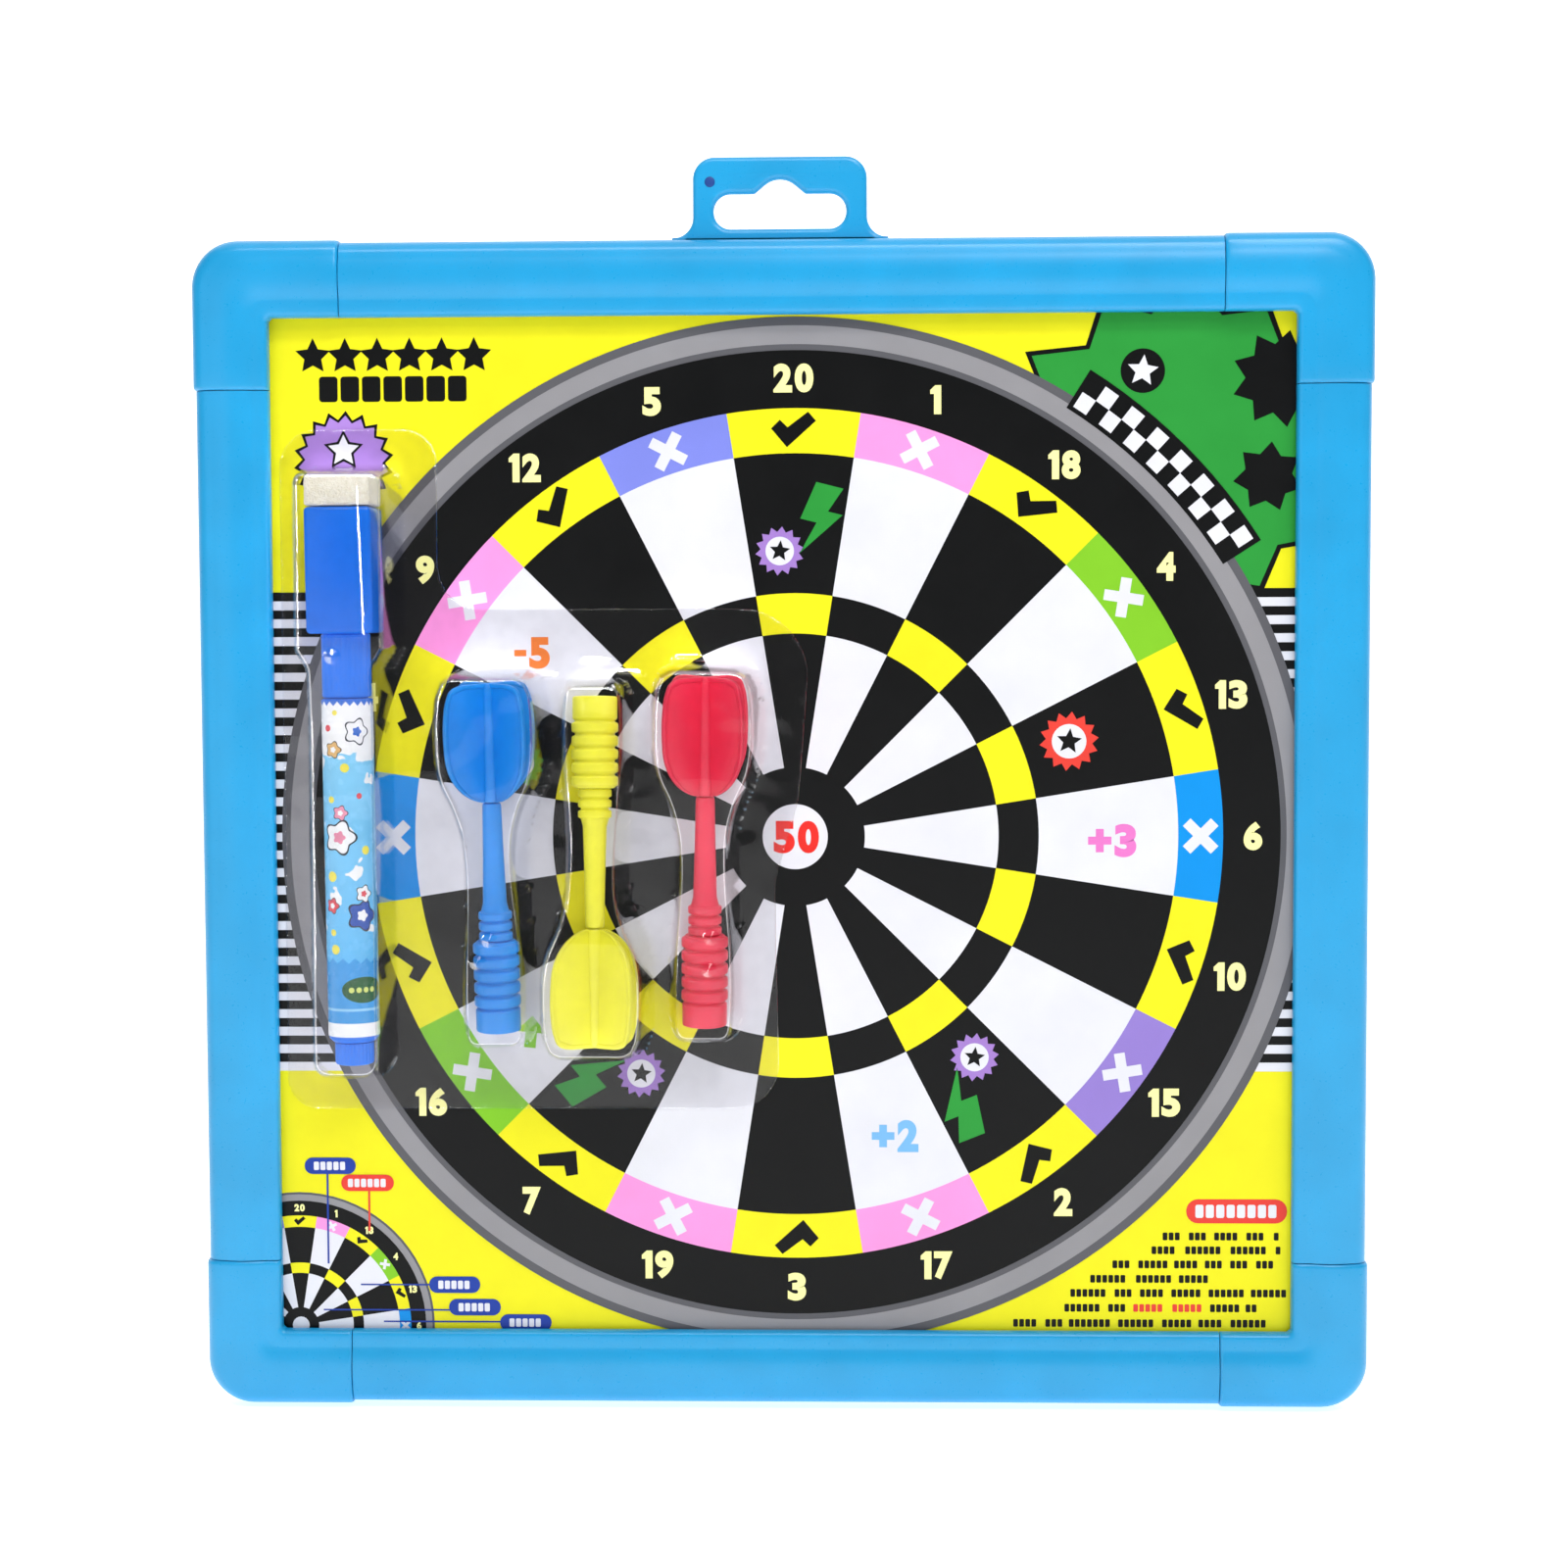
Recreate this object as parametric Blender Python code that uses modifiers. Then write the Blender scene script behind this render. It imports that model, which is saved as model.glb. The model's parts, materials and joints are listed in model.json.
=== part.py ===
"""Magnetic dartboard with three magnetic darts and a board marker under a clear formed tray.

Metres, +Z up. The board hangs upright against a wall and its printed face looks along -Y.
The origin is on the wall, at the middle of the top rail's back. Everything is laid out from the
centre of the bull's-eye on the printed face, and hangs from an empty there.
"""

from math import atan, pi, radians, sin, sqrt, tan

import bmesh
import bpy
from mathutils import Matrix, Vector

MM = 0.001

# Frame: four extruded rails, joined by four moulded corners
FRAME_SIDE = 316 * MM
RAIL_WIDTH = 20 * MM
FRAME_CENTRE = Vector((-3.5 * MM, 0, 2.5 * MM))
FRAME_FRONT = -5.5 * MM
FRAME_BACK = 8.5 * MM
CORNER_LEG = 40 * MM
CORNER_RADIUS = 12.5 * MM
OPENING_RADIUS = 2 * MM
EDGE_RADIUS = 4 * MM
BACK_RADIUS = 1.5 * MM
LIP_BEVEL = 2.5 * MM
RAIL_INSET = 0.4 * MM
SEAM = 0.3 * MM
GAP = 0.3 * MM

# The groove that grips the board, and the hollow that takes the corner tongues
GROOVE_DEPTH = 5.7 * MM
GROOVE_FRONT = -0.4 * MM
GROOVE_BACK = 6.0 * MM
HOLLOW_INNER = 7.4 * MM
HOLLOW_OUTER = 18.0 * MM
HOLLOW_FRONT = -3.6 * MM
HOLLOW_BACK = 6.6 * MM
TONGUE_LENGTH = 14 * MM
TONGUE_PLAY = 0.35 * MM

# The board: printed film, steel sheet, fibre core and whiteboard laminate, front to back
BOARD_OVERLAP = 5 * MM
BOARD_CORNER = 3 * MM
FILM_THICKNESS = 0.3 * MM
STEEL_THICKNESS = 0.4 * MM
CORE_THICKNESS = 3.5 * MM
LAMINATE_THICKNESS = 0.5 * MM

# Hanging tab, held by a foot inside the top rail
TAB_RISE = 21.5 * MM
TAB_HALF = 23.3 * MM
TAB_BASE_HALF = 27 * MM
TAB_FLARE = 3.5 * MM
TAB_FOOT_HALF = 30 * MM
TAB_FOOT_HEIGHT = 5 * MM
TAB_CORNER = 5.8 * MM
TAB_THICKNESS = 3 * MM
TAB_FRONT = 1.5 * MM
EURO_HALF = 17.7 * MM
EURO_HEIGHT = 9.2 * MM
EURO_BUMP_HALF = 6.8 * MM
EURO_BUMP_APEX = 5.7 * MM
EURO_BUMP_RADIUS = 6.2 * MM
EURO_ABOVE_RAIL = 2.4 * MM

# Darts, measured along their axis from the nose
DART_LENGTH = 94 * MM
NOSE_RADIUS = 6 * MM
CUP_LENGTH = 6.5 * MM
GRIP_RIBS = 5
GRIP_PITCH = 3.6 * MM
GRIP_CREST = 6.25 * MM
GRIP_ROOT = 5.4 * MM
NECK_RIBS = 3
NECK_PITCH = 2.8 * MM
NECK_CREST = 4.5 * MM
NECK_ROOT = 3.7 * MM
SHAFT_TOP = 62 * MM
SHAFT_LOWER_RADIUS = 3.3 * MM
SHAFT_UPPER_RADIUS = 2.55 * MM
SOCKET_RADIUS = 1.6 * MM
SOCKET_DEPTH = 10 * MM
SPIGOT_RADIUS = 1.25 * MM
HUB_RADIUS = 2.2 * MM
FIN_REACH = 15.0 * MM
FIN_THICKNESS = 1.2 * MM
FIN_SHOULDER = 12 * MM
MAGNET_RADIUS = 4 * MM
MAGNET_HEIGHT = 3 * MM

# Marker, measured along its axis from the end plug
MARKER_AXIS_DEPTH = 10 * MM
BARREL_RADIUS = 6.6 * MM
BARREL_BORE = 5.1 * MM
BARREL_START = 6.3 * MM
NECK_START = 98.3 * MM
NECK_END = 108 * MM
NECK_RADIUS = 5.6 * MM
LABEL_START = 8 * MM
LABEL_END = 98 * MM
LABEL_PLAY = 0.1 * MM
LABEL_THICKNESS = 0.15 * MM
PLUG_RADIUS = 5.2 * MM
PLUG_SPIGOT = 4.8 * MM
CAP_START = 98.6 * MM
CAP_RADIUS = 6.5 * MM
CAP_BORE = 5.9 * MM
HOLDER_START = 115.6 * MM
HOLDER_TOP = 149 * MM
HOLDER_WIDTH = 17.7 * MM
HOLDER_DEPTH = 18.8 * MM
FELT_TOP = 157.3 * MM

# Clear tray
TRAY_THICKNESS = 0.4 * MM
TRAY_BACK = -0.4 * MM
DART_CAVITY_DEPTH = 24.6 * MM
GRIP_CAVITY_DEPTH = 16 * MM
BLOCK_CAVITY_DEPTH = 21 * MM
BARREL_CAVITY_DEPTH = 18.4 * MM
MARKER_CAVITY_X = -119.5 * MM
POCKET_CORNER = 5 * MM

# Where the loose pieces lie on the board: x and z of the nose or plug end, and the roll about Y
BLUE_DART = (-80.0 * MM, -51.3 * MM, radians(-0.7))
YELLOW_DART = (-53.3 * MM, 37.8 * MM, radians(180.1))
RED_DART = (-24.4 * MM, -49.8 * MM, radians(0.7))
MARKER = (-118.4 * MM, -60.2 * MM, radians(-0.5))

ARC_STEPS = 4
TURNED_STEPS = 16


# ---------------------------------------------------------------- scene, materials and placing

def clear_scene():
    """Remove everything that the scene holds."""
    for item in list(bpy.data.objects):
        bpy.data.objects.remove(item)


def srgb(red, green, blue):
    """Linear colour of an 8-bit screen colour."""
    def linear(value):
        value = value / 255
        return value / 12.92 if value <= 0.04045 else ((value + 0.055) / 1.055) ** 2.4
    return (linear(red), linear(green), linear(blue), 1.0)


def material(name, colour, roughness, metallic=0.0):
    """A plain Principled material."""
    made = bpy.data.materials.new(name)
    made.use_nodes = True
    shader = made.node_tree.nodes["Principled BSDF"]
    shader.inputs["Base Color"].default_value = colour
    shader.inputs["Roughness"].default_value = roughness
    shader.inputs["Metallic"].default_value = metallic
    made.diffuse_color = colour
    return made


def piece(name, shape, finish, parent, location=(0, 0, 0), turn=0.0):
    """A named part from a bmesh, turned about Y and placed under its parent."""
    mesh = bpy.data.meshes.new(name)
    bmesh.ops.recalc_face_normals(shape, faces=shape.faces)
    shape.to_mesh(mesh)
    shape.free()
    mesh.materials.append(finish)
    mesh.shade_smooth()
    mesh.set_sharp_from_angle(angle=radians(35))
    made = bpy.data.objects.new(name, mesh)
    made.location = location
    made.rotation_euler = (0, turn, 0)
    made.parent = parent
    parts.objects.link(made)
    return made


def empty(name, parent, location, rotation=(0, 0, 0)):
    """A pivot that moving pieces hang from."""
    made = bpy.data.objects.new(name, None)
    made.location = location
    made.rotation_euler = rotation
    made.parent = parent
    parts.objects.link(made)
    return made


# ---------------------------------------------------------------- shapes

def rounded(corners, steps=ARC_STEPS):
    """Outline through (x, y, radius) corners, each one rounded by an arc."""
    outline = []
    for index, (x, y, radius) in enumerate(corners):
        here = Vector((x, y))
        to_last = (Vector(corners[index - 1][:2]) - here).normalized()
        to_next = (Vector(corners[(index + 1) % len(corners)][:2]) - here).normalized()
        if radius == 0:
            outline.append((x, y))
            continue
        half = to_last.angle(to_next) / 2
        centre = here + (to_last + to_next).normalized() * radius / sin(half)
        first = here + to_last * radius / tan(half) - centre
        last = here + to_next * radius / tan(half) - centre
        sweep = first.angle_signed(last)
        for step in range(steps + 1):
            arm = first.copy()
            arm.rotate(Matrix.Rotation(-sweep * step / steps, 2))
            outline.append(tuple(centre + arm))
    return outline


def rectangle(left, right, low, high, radius=0.0):
    """Corners of an upright rectangle."""
    return [(left, low, radius), (right, low, radius), (right, high, radius), (left, high, radius)]


def evaluated(source):
    """Bmesh of an object's evaluated shape in world space; the object is removed."""
    depsgraph = bpy.context.evaluated_depsgraph_get()
    mesh = bpy.data.meshes.new_from_object(source.evaluated_get(depsgraph))
    mesh.transform(source.matrix_world)
    shape = bmesh.new()
    shape.from_mesh(mesh)
    bpy.data.objects.remove(source)
    bpy.data.meshes.remove(mesh)
    return shape


def prism(outlines, low, high):
    """Closed solid between two depths. The first outline, in x and z, is the outside; the rest are holes."""
    curve = bpy.data.curves.new("outline", "CURVE")
    curve.dimensions = "2D"
    curve.fill_mode = "BOTH"
    curve.extrude = (high - low) / 2
    for outline in outlines:
        spline = curve.splines.new("POLY")
        spline.points.add(len(outline) - 1)
        for point, (x, z) in zip(spline.points, outline):
            point.co = (x, z, 0, 1)
        spline.use_cyclic_u = True
    guide = bpy.data.objects.new("outline", curve)
    guide.matrix_world = Matrix.Translation((0, (low + high) / 2, 0)) @ Matrix.Rotation(pi / 2, 4, "X")
    bpy.context.scene.collection.objects.link(guide)
    bpy.context.view_layer.update()
    shape = evaluated(guide)
    bmesh.ops.remove_doubles(shape, verts=shape.verts, dist=0.001 * MM)
    return shape


def box(low, high):
    """Closed box between two corners."""
    size = Vector(high) - Vector(low)
    shape = bmesh.new()
    bmesh.ops.create_cube(shape, size=1)
    bmesh.ops.scale(shape, verts=shape.verts, vec=size)
    bmesh.ops.translate(shape, verts=shape.verts, vec=Vector(low) + size / 2)
    return shape


def turned(profile, steps=TURNED_STEPS):
    """Solid of revolution about Z, from (radius, z) points that run down its outer side."""
    mesh = bpy.data.meshes.new("profile")
    points = [(radius, 0, z) for radius, z in profile]
    edges = [(index, index + 1) for index in range(len(points) - 1)]
    if profile[0][0] > 0:
        edges.append((len(points) - 1, 0))
    mesh.from_pydata(points, edges, [])
    guide = bpy.data.objects.new("profile", mesh)
    screw = guide.modifiers.new("turn", "SCREW")
    screw.steps = steps
    screw.render_steps = steps
    screw.use_merge_vertices = True
    screw.merge_threshold = 0.001 * MM
    bpy.context.scene.collection.objects.link(guide)
    return evaluated(guide)


def combine(base, tools, operation):
    """Exact Boolean of one bmesh with others."""
    holders = []
    for shape in [base] + tools:
        mesh = bpy.data.meshes.new("solid")
        bmesh.ops.recalc_face_normals(shape, faces=shape.faces)
        shape.to_mesh(mesh)
        shape.free()
        holder = bpy.data.objects.new("solid", mesh)
        bpy.context.scene.collection.objects.link(holder)
        holders.append(holder)
    for tool in holders[1:]:
        modifier = holders[0].modifiers.new("boolean", "BOOLEAN")
        modifier.operation = operation
        modifier.solver = "EXACT"
        modifier.object = tool
    result = evaluated(holders[0])
    for tool in holders[1:]:
        bpy.data.objects.remove(tool)
    return result


def bevel_edges(shape, chosen, width, steps):
    """Round or chamfer the edges that a test picks."""
    edges = [edge for edge in shape.edges if chosen(edge.verts[0].co, edge.verts[1].co)]
    bmesh.ops.bevel(shape, geom=edges, offset=width, segments=steps, profile=0.5, affect="EDGES")


# ---------------------------------------------------------------- frame

def rail_section():
    """Outline of a rail and of its hollow: distance out from the opening, and depth."""
    front = FRAME_FRONT + RAIL_INSET
    outer = RAIL_WIDTH - RAIL_INSET
    outside = rounded([
        (0, GROOVE_FRONT, 0),
        (0, front + LIP_BEVEL, 0),
        (LIP_BEVEL, front, 0.8 * MM),
        (outer, front, EDGE_RADIUS),
        (outer, FRAME_BACK, BACK_RADIUS),
        (0, FRAME_BACK, 0.8 * MM),
        (0, GROOVE_BACK, 0),
        (GROOVE_DEPTH, GROOVE_BACK, 0),
        (GROOVE_DEPTH, GROOVE_FRONT, 0),
    ])
    hollow = rounded(rectangle(HOLLOW_INNER, HOLLOW_OUTER, HOLLOW_FRONT, HOLLOW_BACK, 1 * MM), 2)
    return [outside, hollow]


def rail_shape():
    """The top rail, about the centre of the frame; the other three are turned copies."""
    half = FRAME_SIDE / 2 - CORNER_LEG - SEAM / 2
    shape = prism(rail_section(), -half, half)
    opening = FRAME_SIDE / 2 - RAIL_WIDTH
    upright = Matrix(((0, 1, 0, 0), (0, 0, 1, 0), (1, 0, 0, opening), (0, 0, 0, 1)))
    bmesh.ops.transform(shape, verts=shape.verts, matrix=upright)
    return shape


def slotted_rail_shape():
    """The top rail, with the slot that the hanging tab stands in."""
    top = FRAME_SIDE / 2
    play = 2 * GAP
    slot = box((-TAB_BASE_HALF - play, TAB_FRONT - GAP, top - 3 * MM),
               (TAB_BASE_HALF + play, TAB_FRONT + TAB_THICKNESS + GAP, top + 1 * MM))
    return combine(rail_shape(), [slot], "DIFFERENCE")


def corner_shape():
    """The top right corner, about the centre of the frame, with a tongue for each rail."""
    outer = FRAME_SIDE / 2
    inner = outer - RAIL_WIDTH
    end = outer - CORNER_LEG
    outline = rounded([
        (end, inner, 0),
        (end, outer, 0),
        (outer, outer, CORNER_RADIUS),
        (outer, end, 0),
        (inner, end, 0),
        (inner, inner, OPENING_RADIUS),
    ], 6)
    shape = prism([outline], FRAME_FRONT, FRAME_BACK)
    near = 0.01 * MM
    inside_reach = inner + OPENING_RADIUS + LIP_BEVEL + near

    def on_end(first, second):
        return any(abs(first[axis] - end) < near and abs(second[axis] - end) < near for axis in (0, 2))

    def rim(depth, inside):
        """Test for the front or back edges that run along the opening, or along the outside."""
        def chosen(first, second):
            level = abs(first.y - depth) < near and abs(second.y - depth) < near
            is_inside = max(first.x, first.z, second.x, second.z) < inside_reach
            return level and not on_end(first, second) and is_inside == inside
        return chosen

    outline_only = [edge for edge in shape.edges if len(edge.link_faces) == 2
                    and edge.link_faces[0].normal.dot(edge.link_faces[1].normal) > 0.999]
    bmesh.ops.dissolve_edges(shape, edges=outline_only, use_verts=False)
    bevel_edges(shape, rim(FRAME_FRONT, True), LIP_BEVEL, 1)
    bevel_edges(shape, rim(FRAME_FRONT, False), EDGE_RADIUS, 4)
    bevel_edges(shape, rim(FRAME_BACK, False), BACK_RADIUS, 2)

    far = 60 * MM
    groove = box((inner - far, GROOVE_FRONT, inner - far),
                 (inner + GROOVE_DEPTH, GROOVE_BACK, inner + GROOVE_DEPTH))
    shape = combine(shape, [groove], "DIFFERENCE")

    low = (inner + HOLLOW_INNER + TONGUE_PLAY, HOLLOW_FRONT + TONGUE_PLAY)
    high = (inner + HOLLOW_OUTER - TONGUE_PLAY, HOLLOW_BACK - TONGUE_PLAY)
    root = end + 2 * MM
    tip = end - TONGUE_LENGTH
    along_x = box((tip, low[1], low[0]), (root, high[1], high[0]))
    along_z = box((low[0], low[1], tip), (high[0], high[1], root))
    for tongue in (along_x, along_z):
        bmesh.ops.bevel(tongue, geom=tongue.edges, offset=1 * MM, segments=1, affect="EDGES")
    return combine(shape, [along_x, along_z], "UNION")


def build_frame(dial, finish):
    """Four rails and four corners around the board."""
    rails = [("top_rail", 0), ("right_rail", 90), ("bottom_rail", 180), ("left_rail", 270)]
    for name, angle in rails:
        shape = slotted_rail_shape() if name == "top_rail" else rail_shape()
        piece(name, shape, finish, dial, FRAME_CENTRE, radians(angle))
    corners = [("top_right_corner", 0), ("bottom_right_corner", 90),
               ("bottom_left_corner", 180), ("top_left_corner", 270)]
    for name, angle in corners:
        piece(name, corner_shape(), finish, dial, FRAME_CENTRE, radians(angle))


def build_hanger(dial, finish):
    """Tab with a hook slot; its wide foot is trapped in the hollow of the top rail."""
    top = FRAME_SIDE / 2
    foot_top = top - (RAIL_WIDTH - HOLLOW_OUTER) - 1 * MM
    foot_low = foot_top - TAB_FOOT_HEIGHT
    base = top + GAP
    crown = top + TAB_RISE
    right = [
        (TAB_FOOT_HALF, foot_low, 1 * MM),
        (TAB_FOOT_HALF, foot_top, 1 * MM),
        (TAB_BASE_HALF, foot_top, 0),
        (TAB_BASE_HALF, base, 0),
        (TAB_HALF, base, TAB_FLARE),
        (TAB_HALF, crown, TAB_CORNER),
    ]
    left = [(-x, z, radius) for x, z, radius in reversed(right)]
    slot_low = top + EURO_ABOVE_RAIL
    slot_high = slot_low + EURO_HEIGHT
    slot_end = EURO_HEIGHT / 2 - 0.1 * MM
    slot_right = [
        (EURO_HALF, slot_low, slot_end),
        (EURO_HALF, slot_high, slot_end),
        (EURO_BUMP_HALF, slot_high, 1.2 * MM),
    ]
    slot_left = [(-x, z, radius) for x, z, radius in reversed(slot_right)]
    bump = [(0, slot_high + EURO_BUMP_APEX, EURO_BUMP_RADIUS)]
    outlines = [rounded(right + left), rounded(slot_right + bump + slot_left)]
    shape = prism(outlines, TAB_FRONT, TAB_FRONT + TAB_THICKNESS)
    piece("hanger_tab", shape, finish, dial, FRAME_CENTRE)


# ---------------------------------------------------------------- board

def build_board(dial, film, steel, core, laminate):
    """The layers that lie in the frame's groove, printed film in front."""
    half = FRAME_SIDE / 2 - RAIL_WIDTH + BOARD_OVERLAP
    outline = rounded(rectangle(-half, half, -half, half, BOARD_CORNER))
    layers = [("print_film", FILM_THICKNESS, film), ("steel_sheet", STEEL_THICKNESS, steel),
              ("core_board", CORE_THICKNESS, core), ("whiteboard_back", LAMINATE_THICKNESS, laminate)]
    front = 0.0
    for name, thickness, finish in layers:
        piece(name, prism([outline], front, front + thickness), finish, dial, FRAME_CENTRE)
        front += thickness + GAP


# ---------------------------------------------------------------- darts

def ribs(start, count, pitch, crest, root):
    """Rounded rings down a turned profile, from the tail side towards the nose."""
    points = []
    for index in range(count):
        top = start - index * pitch
        points += [(root, top), (crest, top - 0.3 * pitch), (crest, top - 0.6 * pitch)]
    return points


def dart_body_shape():
    """Shaft, ribbed grip and nose cup, with a socket for the flight and a pocket for the magnet."""
    grip_start = CUP_LENGTH + GRIP_RIBS * GRIP_PITCH
    neck_start = grip_start + NECK_RIBS * NECK_PITCH
    pocket_radius = MAGNET_RADIUS + GAP
    pocket_top = MAGNET_HEIGHT + 2 * GAP
    profile = [
        (0, SHAFT_TOP - SOCKET_DEPTH),
        (SOCKET_RADIUS, SHAFT_TOP - SOCKET_DEPTH),
        (SOCKET_RADIUS, SHAFT_TOP),
        (SHAFT_UPPER_RADIUS, SHAFT_TOP),
        (SHAFT_LOWER_RADIUS, neck_start + 1 * MM),
    ]
    profile += ribs(neck_start, NECK_RIBS, NECK_PITCH, NECK_CREST, NECK_ROOT)
    profile += ribs(grip_start, GRIP_RIBS, GRIP_PITCH, GRIP_CREST, GRIP_ROOT)
    profile += [
        (GRIP_ROOT, CUP_LENGTH),
        (NOSE_RADIUS, CUP_LENGTH - 0.6 * MM),
        (NOSE_RADIUS, 0),
        (pocket_radius, 0),
        (pocket_radius, pocket_top),
        (0, pocket_top),
    ]
    return turned(profile)


def fin_outline():
    """A pair of opposite fins: half across, and height along the dart."""
    start = SHAFT_TOP + GAP
    right = [
        (1.5 * MM, start, 0),
        (12.2 * MM, start + 4.2 * MM, 4 * MM),
        (FIN_REACH, SHAFT_TOP + FIN_SHOULDER, 6 * MM),
        (FIN_REACH, DART_LENGTH - 12 * MM, 8 * MM),
        (FIN_REACH - 3 * MM, DART_LENGTH, 3 * MM),
    ]
    left = [(-x, z, radius) for x, z, radius in reversed(right)]
    return rounded(right + left)


def flight_shape():
    """Four crossed fins around a hub, whose spigot fits the shaft's socket."""
    half = FIN_THICKNESS / 2
    fins = []
    for angle in (45, 135):
        pair = prism([fin_outline()], -half, half)
        bmesh.ops.rotate(pair, verts=pair.verts, matrix=Matrix.Rotation(radians(angle), 3, "Z"))
        fins.append(pair)
    hub = turned([
        (0, DART_LENGTH - 3 * MM),
        (1.0 * MM, DART_LENGTH - 3.5 * MM),
        (HUB_RADIUS, SHAFT_TOP + 4 * MM),
        (HUB_RADIUS, SHAFT_TOP + GAP),
        (SPIGOT_RADIUS, SHAFT_TOP + GAP),
        (SPIGOT_RADIUS, SHAFT_TOP - SOCKET_DEPTH + 2 * GAP),
        (0, SHAFT_TOP - SOCKET_DEPTH + 2 * GAP),
    ])
    return combine(hub, fins, "UNION")


def magnet_shape():
    """Disc magnet, set just inside the nose."""
    low = GAP
    return turned([(0, low + MAGNET_HEIGHT), (MAGNET_RADIUS, low + MAGNET_HEIGHT),
                   (MAGNET_RADIUS, low), (0, low)])


def resting_lean():
    """Angle between a resting dart and the board: it lies on its nose rim and two fin tips."""
    fin_height = (FIN_REACH + FIN_THICKNESS / 2) / sqrt(2)
    widest = SHAFT_TOP + FIN_SHOULDER
    return atan((fin_height - NOSE_RADIUS) / widest)


def build_dart(dial, colour_name, place, plastic, magnet):
    """One dart, hanging from a pivot at the rim of its nose, on which it tips up off the board."""
    x, z, roll = place
    pivot = empty(colour_name + "_dart_pivot", dial, (x, -GAP, z), (resting_lean(), roll, 0))
    offset = (0, -NOSE_RADIUS, 0)
    piece(colour_name + "_dart_body", dart_body_shape(), plastic, pivot, offset)
    piece(colour_name + "_dart_flight", flight_shape(), plastic, pivot, offset)
    piece(colour_name + "_dart_magnet", magnet_shape(), magnet, pivot, offset)


# ---------------------------------------------------------------- marker

def build_pen(pen, shell, film, fibre, holder):
    """Barrel with its label, plug, ink reservoir, nib holder and nib."""
    piece("marker_barrel", turned([
        (BARREL_BORE, NECK_END),
        (NECK_RADIUS, NECK_END),
        (NECK_RADIUS, NECK_START),
        (BARREL_RADIUS, NECK_START),
        (BARREL_RADIUS, BARREL_START + 1 * MM),
        (BARREL_RADIUS - 1 * MM, BARREL_START),
        (BARREL_BORE, BARREL_START),
    ], 24), shell, pen)
    inner = BARREL_RADIUS + LABEL_PLAY
    outer = inner + LABEL_THICKNESS
    piece("marker_label", turned([
        (inner, LABEL_END), (outer, LABEL_END), (outer, LABEL_START), (inner, LABEL_START),
    ], 24), film, pen)
    plug_top = BARREL_START - GAP
    piece("marker_end_plug", turned([
        (0, plug_top + 6 * MM),
        (PLUG_SPIGOT, plug_top + 6 * MM),
        (PLUG_SPIGOT, plug_top),
        (PLUG_RADIUS, plug_top),
        (PLUG_RADIUS, 0.6 * MM),
        (PLUG_RADIUS - 0.6 * MM, 0),
        (0, 0),
    ]), shell, pen)
    piece("ink_reservoir", turned([
        (0, 88 * MM), (4.3 * MM, 88 * MM), (4.3 * MM, 14 * MM), (0, 14 * MM),
    ]), fibre, pen)
    bore = 2.4 * MM
    seat = NECK_END + GAP
    piece("nib_holder", turned([
        (bore, seat + 4 * MM),
        (bore + 0.8 * MM, seat + 4 * MM),
        (NECK_RADIUS - 0.4 * MM, seat + 1 * MM),
        (NECK_RADIUS - 0.4 * MM, seat),
        (BARREL_BORE - GAP, seat),
        (BARREL_BORE - GAP, seat - 9 * MM),
        (bore, seat - 9 * MM),
    ]), holder, pen)
    nib = 2.1 * MM
    piece("nib", turned([
        (0, seat + 8 * MM),
        (0.8 * MM, seat + 7.6 * MM),
        (nib, seat + 5 * MM),
        (nib, seat - 18 * MM),
        (0, seat - 18 * MM),
    ]), fibre, pen)


def build_cap(cap, shell, block, felt):
    """Cap tube, the eraser holder pressed over its upper half, and the felt glued on top."""
    tube_top = HOLDER_TOP - 12 * MM
    step = HOLDER_START - GAP
    sleeve = CAP_RADIUS - 0.3 * MM
    piece("marker_cap", turned([
        (0, tube_top),
        (sleeve, tube_top),
        (sleeve, step),
        (CAP_RADIUS, step),
        (CAP_RADIUS, CAP_START),
        (CAP_BORE, CAP_START),
        (CAP_BORE, CAP_START + 12 * MM),
        (CAP_BORE - 0.8 * MM, tube_top - 1.5 * MM),
        (0, tube_top - 1.5 * MM),
    ], 24), shell, cap)
    half_width = HOLDER_WIDTH / 2
    half_depth = HOLDER_DEPTH / 2
    body = box((-half_width, -half_depth, HOLDER_START), (half_width, half_depth, HOLDER_TOP))
    bmesh.ops.bevel(body, geom=body.edges, offset=1 * MM, segments=2, affect="EDGES")
    socket_radius = sleeve + GAP
    socket = turned([
        (0, tube_top + GAP), (socket_radius, tube_top + GAP),
        (socket_radius, HOLDER_START - 1 * MM), (0, HOLDER_START - 1 * MM),
    ], 24)
    piece("eraser_holder", combine(body, [socket], "DIFFERENCE"), block, cap)
    pad_inset = 0.2 * MM
    pad = box((-half_width + pad_inset, -half_depth + pad_inset, HOLDER_TOP + GAP),
              (half_width - pad_inset, half_depth - pad_inset, FELT_TOP))
    bmesh.ops.bevel(pad, geom=pad.edges, offset=0.8 * MM, segments=2, affect="EDGES")
    piece("eraser_felt", pad, felt, cap)


# ---------------------------------------------------------------- tray

def tray_outline():
    """Edge of the tray's flat flange: a tall part for the marker and a lower one for the darts."""
    return rounded([
        (-138.5 * MM, -74 * MM, 8 * MM),
        (-4.5 * MM, -74 * MM, 12 * MM),
        (-5.5 * MM, -12 * MM, 20 * MM),
        (1 * MM, 10 * MM, 30 * MM),
        (5 * MM, 61.5 * MM, 18 * MM),
        (-96 * MM, 61.5 * MM, 12 * MM),
        (-96 * MM, 110 * MM, 9 * MM),
        (-138.5 * MM, 110 * MM, 10 * MM),
    ], 5)


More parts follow.
